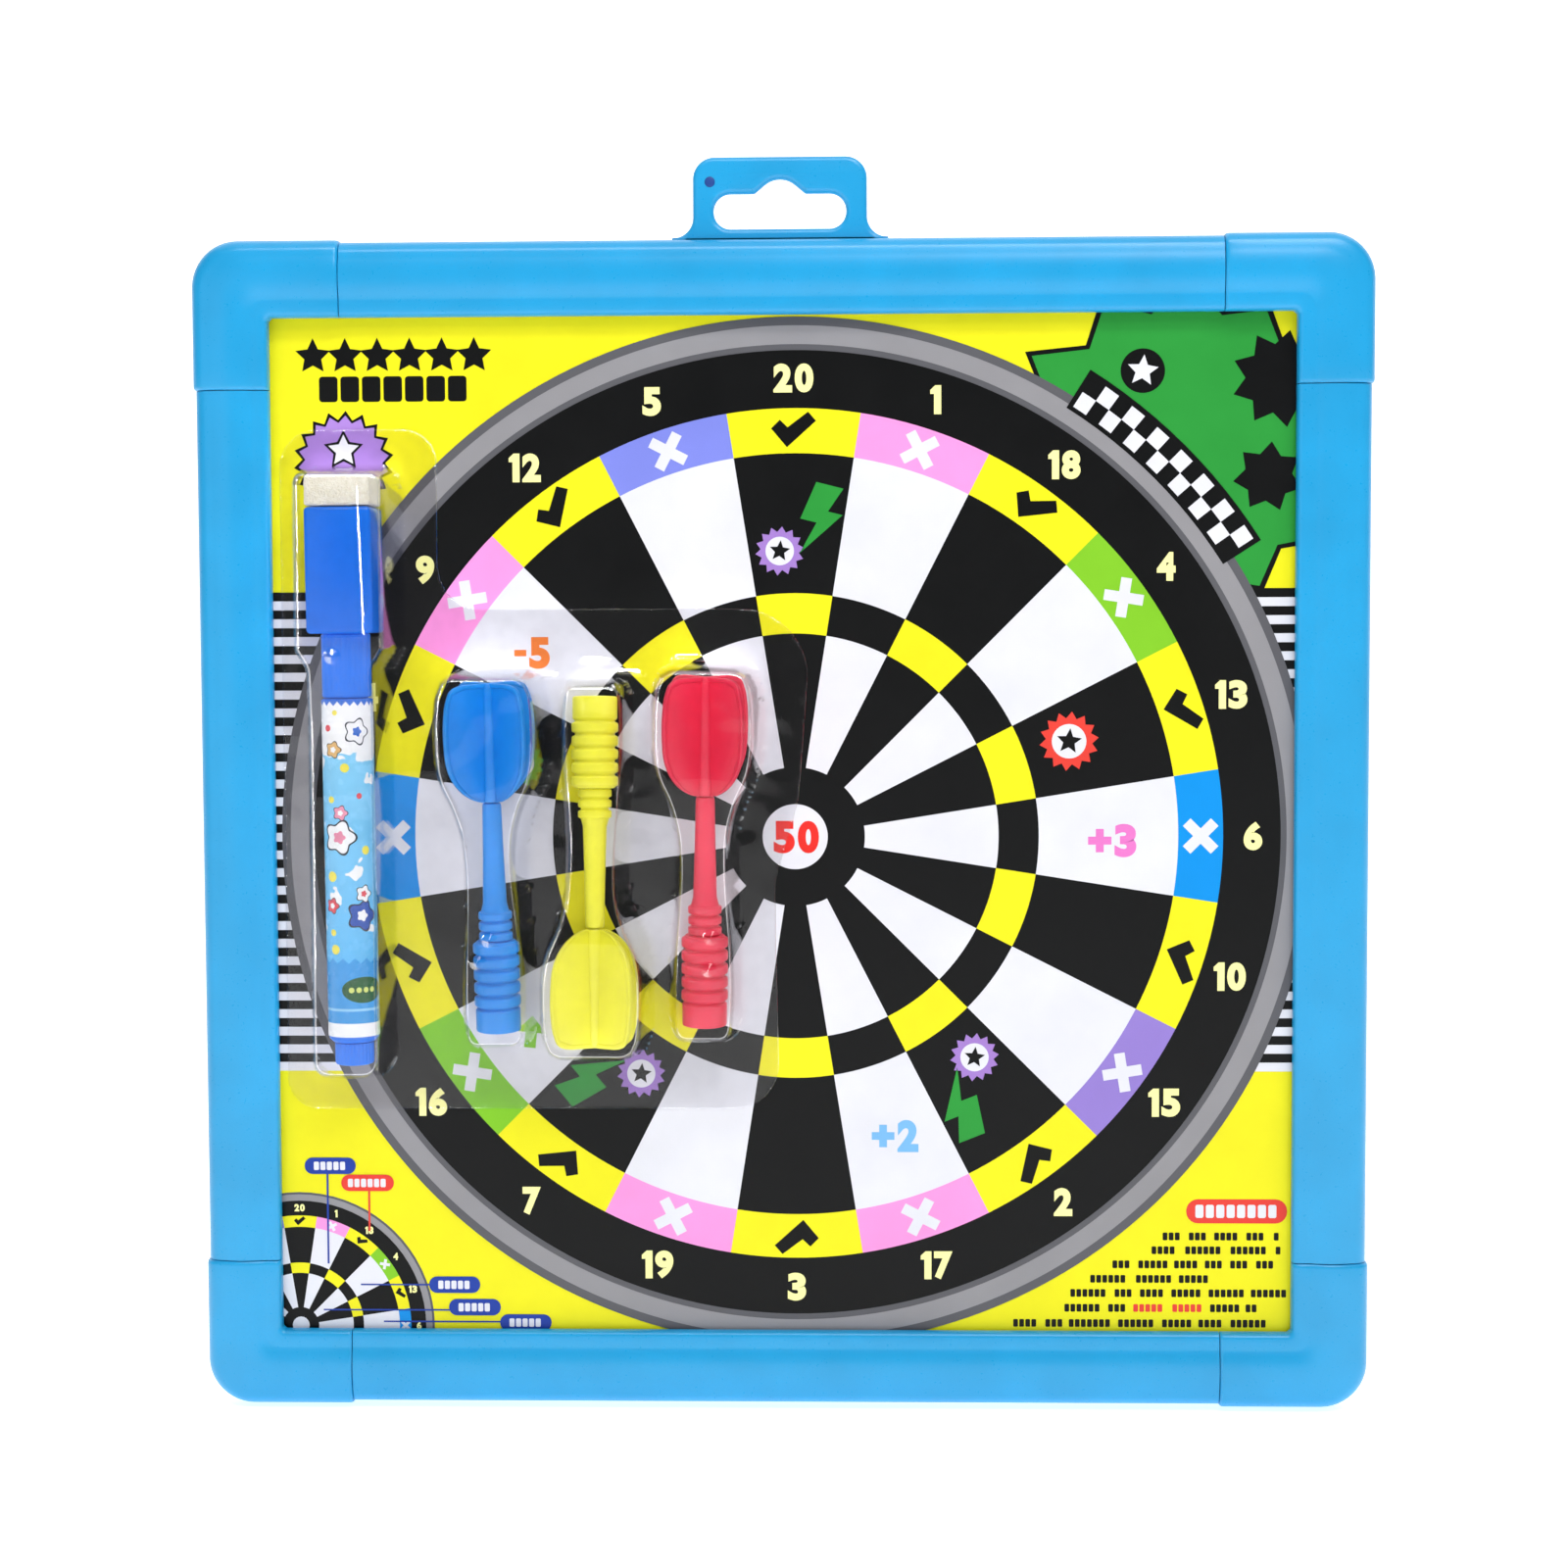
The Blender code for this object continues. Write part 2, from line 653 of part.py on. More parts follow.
def cavities():
    """Each pocket's left, right, low and high edge at the flange, its depth and the draft of its walls."""
    centre = MARKER_CAVITY_X
    pockets = [
        (centre - 13.5 * MM, centre + 13.5 * MM, 47 * MM, 101 * MM, BLOCK_CAVITY_DEPTH, 2.4 * MM),
        (centre - 10.5 * MM, centre + 10.5 * MM, -65.5 * MM, 60 * MM, BARREL_CAVITY_DEPTH, 2.6 * MM),
    ]
    for x, z, roll in (BLUE_DART, YELLOW_DART, RED_DART):
        facing = 1 if abs(roll) < pi / 2 else -1
        tail_x = x + sin(roll) * (DART_LENGTH - 16 * MM)
        tail = z + facing * (DART_LENGTH + 4.5 * MM)
        shoulder = z + facing * (SHAFT_TOP - 6 * MM)
        overlap = shoulder + facing * 10 * MM
        nose = z - facing * 6 * MM
        pockets.append((tail_x - 15.8 * MM, tail_x + 15.8 * MM, min(tail, shoulder), max(tail, shoulder),
                        DART_CAVITY_DEPTH, 2.4 * MM))
        pockets.append((x - 9.5 * MM, x + 9.5 * MM, min(nose, overlap), max(nose, overlap),
                        GRIP_CAVITY_DEPTH, 1.6 * MM))
    return pockets


def loft(rings):
    """Closed solid through rings of equally many points, capped at both ends."""
    shape = bmesh.new()
    loops = [[shape.verts.new(point) for point in ring] for ring in rings]
    for lower, upper in zip(loops, loops[1:]):
        for index in range(len(lower)):
            last = index - 1
            shape.faces.new((lower[last], lower[index], upper[index], upper[last]))
    shape.faces.new(loops[0])
    shape.faces.new(loops[-1])
    return shape


def pocket_shape(pocket, base, inset):
    """A drafted block with rounded edges; the inset makes it that much smaller all round."""
    left, right, low, high, depth, draft = pocket
    front = TRAY_BACK - depth + inset
    steps = [
        (0, base),
        (draft, front + 2 * MM),
        (draft + 0.6 * MM, front + 0.6 * MM),
        (draft + 2 * MM, front),
    ]
    rings = []
    for shrink, y in steps:
        edge = shrink + inset
        radius = max(POCKET_CORNER - edge, 1.5 * MM)
        outline = rounded(rectangle(left + edge, right - edge, low + edge, high - edge, radius), 3)
        rings.append([(x, y, z) for x, z in outline])
    return loft(rings)


def build_tray(dial, finish):
    """Clear formed sheet: a flat flange, with a pocket over each dart and over the marker."""
    flange = prism([tray_outline()], TRAY_BACK - TRAY_THICKNESS, TRAY_BACK)
    raised = [pocket_shape(pocket, TRAY_BACK - TRAY_THICKNESS / 2, 0) for pocket in cavities()]
    solid = combine(flange, raised, "UNION")
    hollows = [pocket_shape(pocket, TRAY_BACK + TRAY_THICKNESS, TRAY_THICKNESS) for pocket in cavities()]
    piece("blister_tray", combine(solid, hollows, "DIFFERENCE"), finish, dial)


# ---------------------------------------------------------------- everything

clear_scene()
parts = bpy.data.collections.new("magnetic_dartboard")
bpy.context.scene.collection.children.link(parts)

blue_frame = material("blue_frame", srgb(57, 172, 235), 0.32)
printed_film = material("printed_film", srgb(245, 235, 30), 0.25)
tinplate = material("tinplate", srgb(170, 172, 175), 0.35, 1.0)
fibreboard = material("fibreboard", srgb(150, 110, 72), 0.85)
white_laminate = material("white_laminate", srgb(244, 245, 246), 0.18)
blue_plastic = material("blue_dart_plastic", srgb(28, 140, 232), 0.35)
yellow_plastic = material("yellow_dart_plastic", srgb(246, 236, 46), 0.35)
red_plastic = material("red_dart_plastic", srgb(240, 58, 88), 0.35)
ferrite = material("ferrite", srgb(52, 52, 55), 0.6, 0.2)
marker_blue = material("marker_blue", srgb(36, 104, 214), 0.3)
holder_blue = material("holder_blue", srgb(42, 118, 230), 0.35)
label_film = material("label_film", srgb(124, 196, 240), 0.3)
fibre = material("fibre", srgb(60, 60, 70), 0.9)
holder_white = material("nib_holder_white", srgb(235, 235, 235), 0.4)
felt = material("cream_felt", srgb(232, 224, 200), 1.0)
clear_sheet = material("clear_sheet", srgb(215, 220, 225), 0.1)

wall_point = FRAME_CENTRE + Vector((0, FRAME_BACK, (FRAME_SIDE - RAIL_WIDTH) / 2))
dial_centre = empty("dial_centre", None, -wall_point)
build_frame(dial_centre, blue_frame)
build_hanger(dial_centre, blue_frame)
build_board(dial_centre, printed_film, tinplate, fibreboard, white_laminate)
build_dart(dial_centre, "blue", BLUE_DART, blue_plastic, ferrite)
build_dart(dial_centre, "yellow", YELLOW_DART, yellow_plastic, ferrite)
build_dart(dial_centre, "red", RED_DART, red_plastic, ferrite)

marker_x, marker_z, marker_roll = MARKER
pen_pivot = empty("marker_pivot", dial_centre, (marker_x, -MARKER_AXIS_DEPTH, marker_z), (0, marker_roll, 0))
cap_pivot = empty("cap_pivot", pen_pivot, (0, 0, 0))
build_pen(pen_pivot, marker_blue, label_film, fibre, holder_white)
build_cap(cap_pivot, marker_blue, holder_blue, felt)
build_tray(dial_centre, clear_sheet)
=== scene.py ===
"""Looks of the magnetic dartboard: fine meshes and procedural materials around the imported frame.

Shapes are laid out in millimetres from the centre of the bull's-eye on the printed face: x to the
right, y into the board, z up. Each piece is carried into the frame's metres as it is made.
"""

import json
import random
from math import atan, atan2, cos, pi, radians, sin, sqrt, tan

import bmesh
import bpy
import numpy as np
from mathutils import Matrix, Vector, noise


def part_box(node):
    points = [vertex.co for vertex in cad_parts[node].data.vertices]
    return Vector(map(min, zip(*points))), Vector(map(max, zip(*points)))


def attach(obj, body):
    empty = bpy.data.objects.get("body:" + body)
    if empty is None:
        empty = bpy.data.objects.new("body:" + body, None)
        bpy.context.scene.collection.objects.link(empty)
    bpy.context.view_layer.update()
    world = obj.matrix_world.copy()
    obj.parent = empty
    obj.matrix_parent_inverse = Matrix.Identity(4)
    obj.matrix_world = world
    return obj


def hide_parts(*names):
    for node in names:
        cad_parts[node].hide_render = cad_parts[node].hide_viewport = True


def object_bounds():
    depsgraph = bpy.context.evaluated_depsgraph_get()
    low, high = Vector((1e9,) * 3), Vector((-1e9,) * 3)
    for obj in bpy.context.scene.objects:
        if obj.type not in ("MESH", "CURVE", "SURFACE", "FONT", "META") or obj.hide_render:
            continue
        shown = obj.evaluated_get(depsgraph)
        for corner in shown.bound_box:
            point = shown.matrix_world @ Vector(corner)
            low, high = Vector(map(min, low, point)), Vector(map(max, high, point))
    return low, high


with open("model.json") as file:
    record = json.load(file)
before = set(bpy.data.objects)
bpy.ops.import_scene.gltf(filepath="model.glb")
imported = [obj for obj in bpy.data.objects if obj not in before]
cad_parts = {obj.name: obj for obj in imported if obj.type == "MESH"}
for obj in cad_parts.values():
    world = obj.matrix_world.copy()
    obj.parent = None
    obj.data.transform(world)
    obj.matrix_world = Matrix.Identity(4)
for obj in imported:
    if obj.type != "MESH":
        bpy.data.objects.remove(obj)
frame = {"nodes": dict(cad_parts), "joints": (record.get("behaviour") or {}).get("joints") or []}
CAD_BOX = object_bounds()

MM = 0.001

# Where the bull's-eye sits on the printed film, from the film's centre
DIAL_RIGHT = 3.5
DIAL_DOWN = 2.5

film_low, film_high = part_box("print_film")
FILM_MIDDLE = (film_low + film_high) / 2
DIAL = Vector((FILM_MIDDLE.x + DIAL_RIGHT * MM, film_low.y, FILM_MIDDLE.z - DIAL_DOWN * MM))
ON_DIAL = Matrix.Translation(DIAL) @ Matrix.Scale(MM, 4)
ON_FRAME = ON_DIAL @ Matrix.Translation((-DIAL_RIGHT, 0, DIAL_DOWN))

# Edges of the print, which stops just short of the film's
PRINT_MARGIN = 0.1
PRINT_LEFT = (film_low.x - DIAL.x) / MM + PRINT_MARGIN
PRINT_RIGHT = (film_high.x - DIAL.x) / MM - PRINT_MARGIN
PRINT_LOW = (film_low.z - DIAL.z) / MM + PRINT_MARGIN
PRINT_TOP = (film_high.z - DIAL.z) / MM - PRINT_MARGIN

# Frame: a rail's profile runs outwards from the opening
FRAME_HALF = 158.0
RAIL_WIDTH = 20.0
CORNER_LEG = 40.0
CORNER_RADIUS = 12.5
OPENING_RADIUS = 2.0
OPENING_HALF = FRAME_HALF - RAIL_WIDTH
FACE_DEPTH = -5.5
BACK_DEPTH = 8.5
GROOVE_DEPTH = 5.7
GROOVE_FRONT = -0.4
GROOVE_BACK = 6.0
SLEEVE_PROUD = 0.4
LIP = 0.8
SEAM = 0.45
CROWN_START = 4.0
CROWN_RISE = 0.9
EDGE_WIDTH = 4.2
EDGE_DEPTH = 4.6

# Hanging tab, and the hook slot through it
TAB_HALF = 23.3
TAB_RISE = 21.5
TAB_FRONT = 1.5
TAB_BACK = 4.5
TAB_EDGE = 1.4
SLOT_HALF = 17.7
SLOT_RISE = 2.4
SLOT_HEIGHT = 9.2

# Dial rings, from the middle out
BULL = 8.8
HUB = 18.8
INNER_WEDGE = 54.8
MIDDLE_RING = 65.6
OUTER_WEDGE = 103.0
BAND = 115.0
NUMBER_RING = 130.4
RIM_INNER_LINE = 132.0
RIM_GREY = 137.0
RIM_EDGE = 139.3
NUMBER_RADIUS = 123.0
NUMBER_HEIGHT = 7.7
SECTOR_NUMBERS = [20, 1, 18, 4, 13, 6, 10, 15, 2, 17, 3, 19, 7, 16, 8, 11, 14, 9, 12, 5]
SECTOR = 2 * pi / len(SECTOR_NUMBERS)
BAND_INKS = {1: "pink", 4: "lime", 6: "azure", 15: "violet", 17: "pink", 19: "pink",
             16: "lime", 11: "azure", 9: "pink", 5: "periwinkle"}

# Layers of print, from the film outwards, and how far apart their faces lie
BURST = 3
RIM = 5
NUMBER_DISC = 7
WEDGES = 8
SIGNS = 9
INK_STEP = 0.03

# Darts, along their axis from the nose
DART_LENGTH = 94.0
NOSE_RADIUS = 6.0
CUP_LENGTH = 6.5
GRIP_RINGS, GRIP_PITCH = 5, 3.6
NECK_RINGS, NECK_PITCH = 3, 2.8
SHAFT_TOP = 62.0
FIN_REACH = 15.0
FIN_THICKNESS = 1.2
FIN_SHOULDER = 12.0
FIN_RIM = 1.3

# Marker, along its axis from the end plug
LABEL_LOW = 8
LABEL_TOP = 98
LABEL_RADIUS = 6.8
NIB_SEAT = 108.3

# Camera, in millimetres from the frame's centre and in degrees
CAMERA_PLACE = (24.1, -750, 56.2)
CAMERA_LEFT = 1.8
CAMERA_DOWN = 3.39
CAMERA_ROLL = 0.24
FIELD_OF_VIEW = 31.43

# Light: the world's, on the object and as the camera sees it, and the glow of the floor
WORLD_LIGHT = 0.21
WORLD_SEEN = 1.0
FLOOR_GLOW = 0.72

# The range that most of a noise's values lie in
NOISE_SPAN = (0.3, 0.7)


# ---------------------------------------------------------------- materials

def srgb(red, green, blue):
    """Linear colour of an 8-bit screen colour."""
    def linear(value):
        value = value / 255
        return value / 12.92 if value <= 0.04045 else ((value + 0.055) / 1.055) ** 2.4
    return (linear(red), linear(green), linear(blue), 1.0)


def shade(colour, factor):
    """The same colour, lighter or darker."""
    return tuple(min(1.0, channel * factor) for channel in colour[:3]) + (1.0,)


def blank(name):
    """A material's node tree with its Principled shader."""
    made = bpy.data.materials.new(name)
    made.use_nodes = True
    return made, made.node_tree, made.node_tree.nodes["Principled BSDF"]


def set_inputs(tree, target, inputs):
    """Set a node's inputs by name; a value that is a socket is linked."""
    for key, value in inputs.items():
        if isinstance(value, bpy.types.NodeSocket):
            tree.links.new(value, target.inputs[key])
        else:
            target.inputs[key].default_value = value


def add(tree, kind, inputs, **settings):
    """New node of a kind, with its settings and inputs."""
    made = tree.nodes.new("ShaderNode" + kind)
    for key, value in settings.items():
        setattr(made, key, value)
    set_inputs(tree, made, inputs)
    return made


def place_vector(tree, stretch=(1, 1, 1)):
    """Position on the piece in millimetres, stretched along an axis for a grain."""
    where = add(tree, "TexCoord", {})
    scale = tuple(value / MM for value in stretch)
    return add(tree, "Mapping", {"Vector": where.outputs["Object"], "Scale": scale}).outputs["Vector"]


def noise_value(tree, vector, scale, detail=2.0, roughness=0.5):
    """Smooth noise, about one blotch every 1/scale millimetres."""
    return add(tree, "TexNoise", {"Vector": vector, "Scale": scale, "Detail": detail,
                                  "Roughness": roughness}).outputs["Fac"]


def cells(tree, vector, scale, spread=1.0):
    """Distance from the middle of the nearest cell, in cells 1/scale millimetres wide."""
    return add(tree, "TexVoronoi", {"Vector": vector, "Scale": scale,
                                    "Randomness": spread}).outputs["Distance"]


def calc(tree, operation, *values):
    """Result of a Math node."""
    return add(tree, "Math", dict(enumerate(values)), operation=operation).outputs["Value"]


def ramp(tree, value, low, high, to_low=0.0, to_high=1.0):
    """Value carried from one range to another, and held inside it."""
    made = add(tree, "MapRange", {"Value": value, "From Min": low, "From Max": high,
                                  "To Min": to_low, "To Max": to_high})
    return made.outputs["Result"]


def mixed(tree, factor, first, second):
    """Colour between two colours."""
    made = tree.nodes.new("ShaderNodeMix")
    made.data_type = "RGBA"
    for socket, value in ((made.inputs[0], factor), (made.inputs[6], first), (made.inputs[7], second)):
        if isinstance(value, bpy.types.NodeSocket):
            tree.links.new(value, socket)
        else:
            socket.default_value = value
    return made.outputs[2]


def bumped(tree, height, distance):
    """Normal from a height, with its depth in millimetres."""
    return add(tree, "Bump", {"Height": height, "Distance": distance * MM}).outputs["Normal"]


def moulded(name, colour, roughness, grain=0.02, glow=0.0):
    """Injection moulded plastic: slow flow marks in its colour, fine texture and a soft gloss."""
    made, tree, shader = blank(name)
    vector = place_vector(tree)
    flow = noise_value(tree, vector, 0.05)
    speck = noise_value(tree, vector, 1.4, 3.0)
    blotch = mixed(tree, ramp(tree, flow, *NOISE_SPAN), shade(colour, 0.93), shade(colour, 1.05))
    set_inputs(tree, shader, {
        "Base Color": mixed(tree, ramp(tree, speck, *NOISE_SPAN, 0.0, 0.35), blotch, shade(colour, 0.94)),
        "Roughness": ramp(tree, speck, 0.2, 0.8, roughness - 0.05, roughness + 0.07),
        "Normal": bumped(tree, noise_value(tree, vector, 2.2, 4.0), grain),
    })
    if glow:
        set_inputs(tree, shader, {"Subsurface Weight": glow, "Subsurface Scale": 2.5 * MM,
                                  "Subsurface Radius": tuple(0.3 + channel for channel in colour[:3])})
    return made


def ink(name, colour):
    """Printed ink: faint screen dots and a slow drift in how thickly it lies, under a gloss."""
    made, tree, shader = blank("ink_" + name)
    vector = place_vector(tree)
    drift = noise_value(tree, vector, 0.06, 3.0)
    dots = cells(tree, vector, 2.4, 0.35)
    thin = mixed(tree, ramp(tree, drift, *NOISE_SPAN), shade(colour, 0.955), shade(colour, 1.03))
    set_inputs(tree, shader, {
        "Base Color": mixed(tree, ramp(tree, dots, 0.1, 0.5, 0.0, 0.12), thin, shade(colour, 0.8)),
        "Roughness": ramp(tree, drift, 0.2, 0.8, 0.3, 0.4),
        "Specular IOR Level": 0.15,
    })
    return made


def clear_plastic(name):
    """Thin formed sheet: clear and faintly tinted face on, a mirror where it is seen at a slant."""
    made, tree, shader = blank(name)
    tree.nodes.remove(shader)
    vector = place_vector(tree)
    normal = bumped(tree, noise_value(tree, vector, 0.05, 1.0), 0.5)
    slant = add(tree, "LayerWeight", {"Blend": 0.36, "Normal": normal})
    dust = noise_value(tree, vector, 0.3, 4.0)
    tint = mixed(tree, ramp(tree, dust, 0.4, 0.8), (0.978, 0.975, 0.979, 1), (0.955, 0.952, 0.957, 1))
    see = add(tree, "BsdfTransparent", {"Color": tint})
    gloss = add(tree, "BsdfGlossy", {"Color": (1, 1, 1, 1), "Roughness": 0.05, "Normal": normal})
    shine = ramp(tree, slant.outputs["Fresnel"], 0.045, 0.75, 0.012, 0.4)
    surface = add(tree, "MixShader", {0: shine, 1: see.outputs["BSDF"], 2: gloss.outputs["BSDF"]})
    tree.links.new(surface.outputs["Shader"], tree.nodes["Material Output"].inputs["Surface"])
    return made


def felt_material():
    """Cream needle felt: tangled fibres with a soft sheen."""
    made, tree, shader = blank("felt_cream")
    vector = place_vector(tree)
    tangle = noise_value(tree, vector, 1.1, 6.0, 0.7)
    height = calc(tree, "ADD", tangle, calc(tree, "MULTIPLY", cells(tree, vector, 2.2), 0.5))
    set_inputs(tree, shader, {
        "Base Color": mixed(tree, ramp(tree, tangle, *NOISE_SPAN), srgb(238, 231, 206), srgb(255, 252, 238)),
        "Roughness": 0.95,
        "Sheen Weight": 0.5,
        "Sheen Roughness": 0.5,
        "Normal": bumped(tree, height, 0.5),
    })
    return made


def grained(name, stretch, pattern, span, colours, roughness, relief=0.0, metallic=0.0):
    """Material led by one noise: it mixes two colours, and can drive the roughness and a relief."""
    made, tree, shader = blank(name)
    grain = noise_value(tree, place_vector(tree, stretch), *pattern)
    if isinstance(roughness, tuple):
        roughness = ramp(tree, grain, *roughness)
    set_inputs(tree, shader, {"Base Color": mixed(tree, ramp(tree, grain, *span), *colours),
                              "Roughness": roughness, "Metallic": metallic})
    if relief:
        set_inputs(tree, shader, {"Normal": bumped(tree, grain, relief)})
    return made


def tinplate():
    """Bright steel with fine rolling marks along its length."""
    return grained("tinplate", (0.02, 1, 1), (2.0, 4.0), (0, 1), (srgb(150, 152, 155), srgb(196, 198, 200)),
                   (0.2, 0.8, 0.28, 0.42), metallic=1.0)


def fibreboard():
    """Pressed fibre core: brown, flecked and rough."""
    return grained("fibreboard", (0.3, 1, 0.3), (2.5, 5.0, 0.65), NOISE_SPAN,
                   (srgb(118, 82, 50), srgb(176, 136, 92)), 0.85, 0.15)


def whiteboard_laminate():
    """White writing surface: glossy, with a trace of wiped ink."""
    return grained("whiteboard_laminate", (1, 1, 0.25), (0.05, 5.0, 0.6), (0.45, 0.75),
                   (srgb(204, 206, 209), srgb(198, 201, 205)), (*NOISE_SPAN, 0.14, 0.24))


def ferrite():
    """Sintered magnet: near black, with a fine grain."""
    return grained("ferrite", (1, 1, 1), (3.0, 4.0, 0.6), (0, 1), (srgb(40, 40, 43), srgb(72, 72, 76)),
                   0.55, 0.08, 0.25)


def fibre(name, colour):
    """Bundled fibre that soaks up ink."""
    return grained(name, (1, 1, 0.05), (3.0, 4.0, 0.6), NOISE_SPAN,
                   (shade(colour, 0.75), shade(colour, 1.15)), 0.9, 0.15)


# ---------------------------------------------------------------- shape helpers

def placed(name, data):
    """New object in the scene."""
    made = bpy.data.objects.new(name, data)
    bpy.context.scene.collection.objects.link(made)
    return made


def finished(name, shape, finish, body, place=ON_DIAL, angle=35, node=None):
    """Make a piece from a bmesh in millimetres, let it ride on a body and stand for a CAD node."""
    mesh = bpy.data.meshes.new(name)
    bmesh.ops.recalc_face_normals(shape, faces=shape.faces)
    shape.to_mesh(mesh)
    shape.free()
    mesh.transform(place)
    mesh.materials.append(finish)
    mesh.shade_smooth()
    mesh.set_sharp_from_angle(angle=radians(angle))
    made = placed(name, mesh)
    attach(made, body)
    if node:
        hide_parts(node)
    return made


def taken(data):
    """Bmesh of the shape that a curve or a text makes; the curve's own object is removed."""
    source = placed("helper", data)
    depsgraph = bpy.context.evaluated_depsgraph_get()
    mesh = bpy.data.meshes.new_from_object(source.evaluated_get(depsgraph))
    shape = bmesh.new()
    shape.from_mesh(mesh)
    bpy.data.objects.remove(source)
    bpy.data.meshes.remove(mesh)
    return shape


def full_turn(steps):
    """Angles evenly spread round a full turn."""
    return [2 * pi * step / steps for step in range(steps)]


def polar(radius, angle, centre=(0, 0)):
    """Point at a radius and an angle clockwise from straight up."""
    return (centre[0] + radius * sin(angle), centre[1] + radius * cos(angle))


def mirrored(half, crown=()):
    """Outline up a half on the right, over a crown and down the half's mirror image on the left."""
    return half + list(crown) + [(-point[0], *point[1:]) for point in reversed(half)]


def rounded(corners, steps=5):
    """Outline through (x, z, radius) corners, each one rounded by an arc."""
    outline = []
    for index, (x, z, radius) in enumerate(corners):
        here = Vector((x, z))
        to_last = (Vector(corners[index - 1][:2]) - here).normalized()
        to_next = (Vector(corners[(index + 1) % len(corners)][:2]) - here).normalized()
        if radius == 0:
            outline.append((x, z))
            continue
        half = to_last.angle(to_next) / 2
        centre = here + (to_last + to_next).normalized() * radius / sin(half)
        first = here + to_last * radius / tan(half) - centre
        last = here + to_next * radius / tan(half) - centre
        sweep = first.angle_signed(last)
        for step in range(steps + 1):
            arm = first.copy()
            arm.rotate(Matrix.Rotation(-sweep * step / steps, 2))
            outline.append(tuple(centre + arm))
    return outline


def smooth_path(points, steps=6):
    """Points along a smooth curve through the given ones (Catmull-Rom)."""
    path = []
    last = len(points) - 1
    for index in range(last):
        before = Vector(points[max(index - 1, 0)])
        start = Vector(points[index])
        end = Vector(points[index + 1])
        after = Vector(points[min(index + 2, last)])
        for step in range(steps):
            t = step / steps
            bend = (2 * start + (end - before) * t + (2 * before - 5 * start + 4 * end - after) * t ** 2
                    + (3 * start - before - 3 * end + after) * t ** 3)
            path.append(tuple(bend / 2))
    path.append(tuple(points[-1]))
    return path


def loft(rings, closed=False):
    """Closed solid through rings of equally many points: capped at its ends, or joined up."""
    shape = bmesh.new()
    loops = [[shape.verts.new(point) for point in ring] for ring in rings]
    pairs = list(zip(loops, loops[1:]))
    if closed:
        pairs.append((loops[-1], loops[0]))
    for lower, upper in pairs:
        for index in range(len(lower)):
            shape.faces.new((lower[index - 1], lower[index], upper[index], upper[index - 1]))
    if not closed:
        shape.faces.new(loops[0])
        shape.faces.new(loops[-1])
    return shape


def turned(profile, steps):
    """Solid of revolution about z, from (radius, z) points."""
    rings = [[(radius * cos(angle), radius * sin(angle), z) for angle in full_turn(steps)]
             for radius, z in profile]
    on_axis = profile[0][0] == 0 and profile[-1][0] == 0
    shape = loft(rings, closed=not on_axis)
    bmesh.ops.remove_doubles(shape, verts=shape.verts, dist=0.0005)
    return shape


def ribbed(profile, ribs, depth, power, closed):
    """Solid about z from (radius, z, is ribbed) points, with rounded grooves between its ribs."""
    rings = []
    for radius, z, is_ribbed in profile:
        ring = []
        for angle in full_turn(ribs * 6):
            reach = radius - is_ribbed * depth * (0.5 + 0.5 * cos(ribs * angle)) ** power
            ring.append((reach * cos(angle), reach * sin(angle), z))
        rings.append(ring)
    return loft(rings, closed)


def softened(profile, radius):
    """A turned profile with its corners rounded, apart from those on the axis."""
    corners = []
    for index, (reach, z) in enumerate(profile):
        here = Vector((reach, z))
        gaps = [(Vector(profile[index - 1]) - here).length,
                (Vector(profile[(index + 1) % len(profile)]) - here).length]
        own = 0 if reach < 0.01 else min(radius, 0.4 * min(gaps))
        corners.append((reach, z, own))
    return rounded(corners, 3)


def slab(outlines, low, high, edge):
    """Closed solid with rounded rims. Outlines are in x and z: first the outside, then the holes."""
    curve = bpy.data.curves.new("outline", "CURVE")
    curve.dimensions = "2D"
    curve.fill_mode = "BOTH"
    curve.extrude = (high - low) / 2 - edge
    curve.bevel_depth = edge
    curve.bevel_resolution = 3
    curve.offset = -edge
    for outline in outlines:
        spline = curve.splines.new("POLY")
        spline.points.add(len(outline) - 1)
        for point, (x, z) in zip(spline.points, outline):
            point.co = (x, z, 0, 1)
        spline.use_cyclic_u = True
    shape = taken(curve)
    upright = Matrix.Translation((0, (low + high) / 2, 0)) @ Matrix.Rotation(pi / 2, 4, "X")
    bmesh.ops.transform(shape, verts=shape.verts, matrix=upright)
    bmesh.ops.remove_doubles(shape, verts=shape.verts, dist=0.001)
    return shape


def merged(first, *others):
    """One bmesh that holds several shapes as separate closed bodies."""
    for other in others:
        mesh = bpy.data.meshes.new("part")
        other.to_mesh(mesh)
        other.free()
        first.from_mesh(mesh)
        bpy.data.meshes.remove(mesh)
    return first


def rounded_block(half_x, half_y, low, high, radius, cuts=0):
    """Block with every edge rounded, standing on z."""
    shape = bmesh.new()
    bmesh.ops.create_cube(shape, size=1)
    bmesh.ops.scale(shape, verts=shape.verts, vec=(2 * half_x, 2 * half_y, high - low))
    bmesh.ops.translate(shape, verts=shape.verts, vec=(0, 0, (low + high) / 2))
    bmesh.ops.bevel(shape, geom=shape.edges, offset=radius, segments=4, profile=0.5, affect="EDGES")
    if cuts:
        long_edges = [edge for edge in shape.edges if edge.calc_length() > 2 * radius]
        bmesh.ops.subdivide_edges(shape, edges=long_edges, cuts=cuts, use_grid_fill=True)
    return shape


# ---------------------------------------------------------------- frame

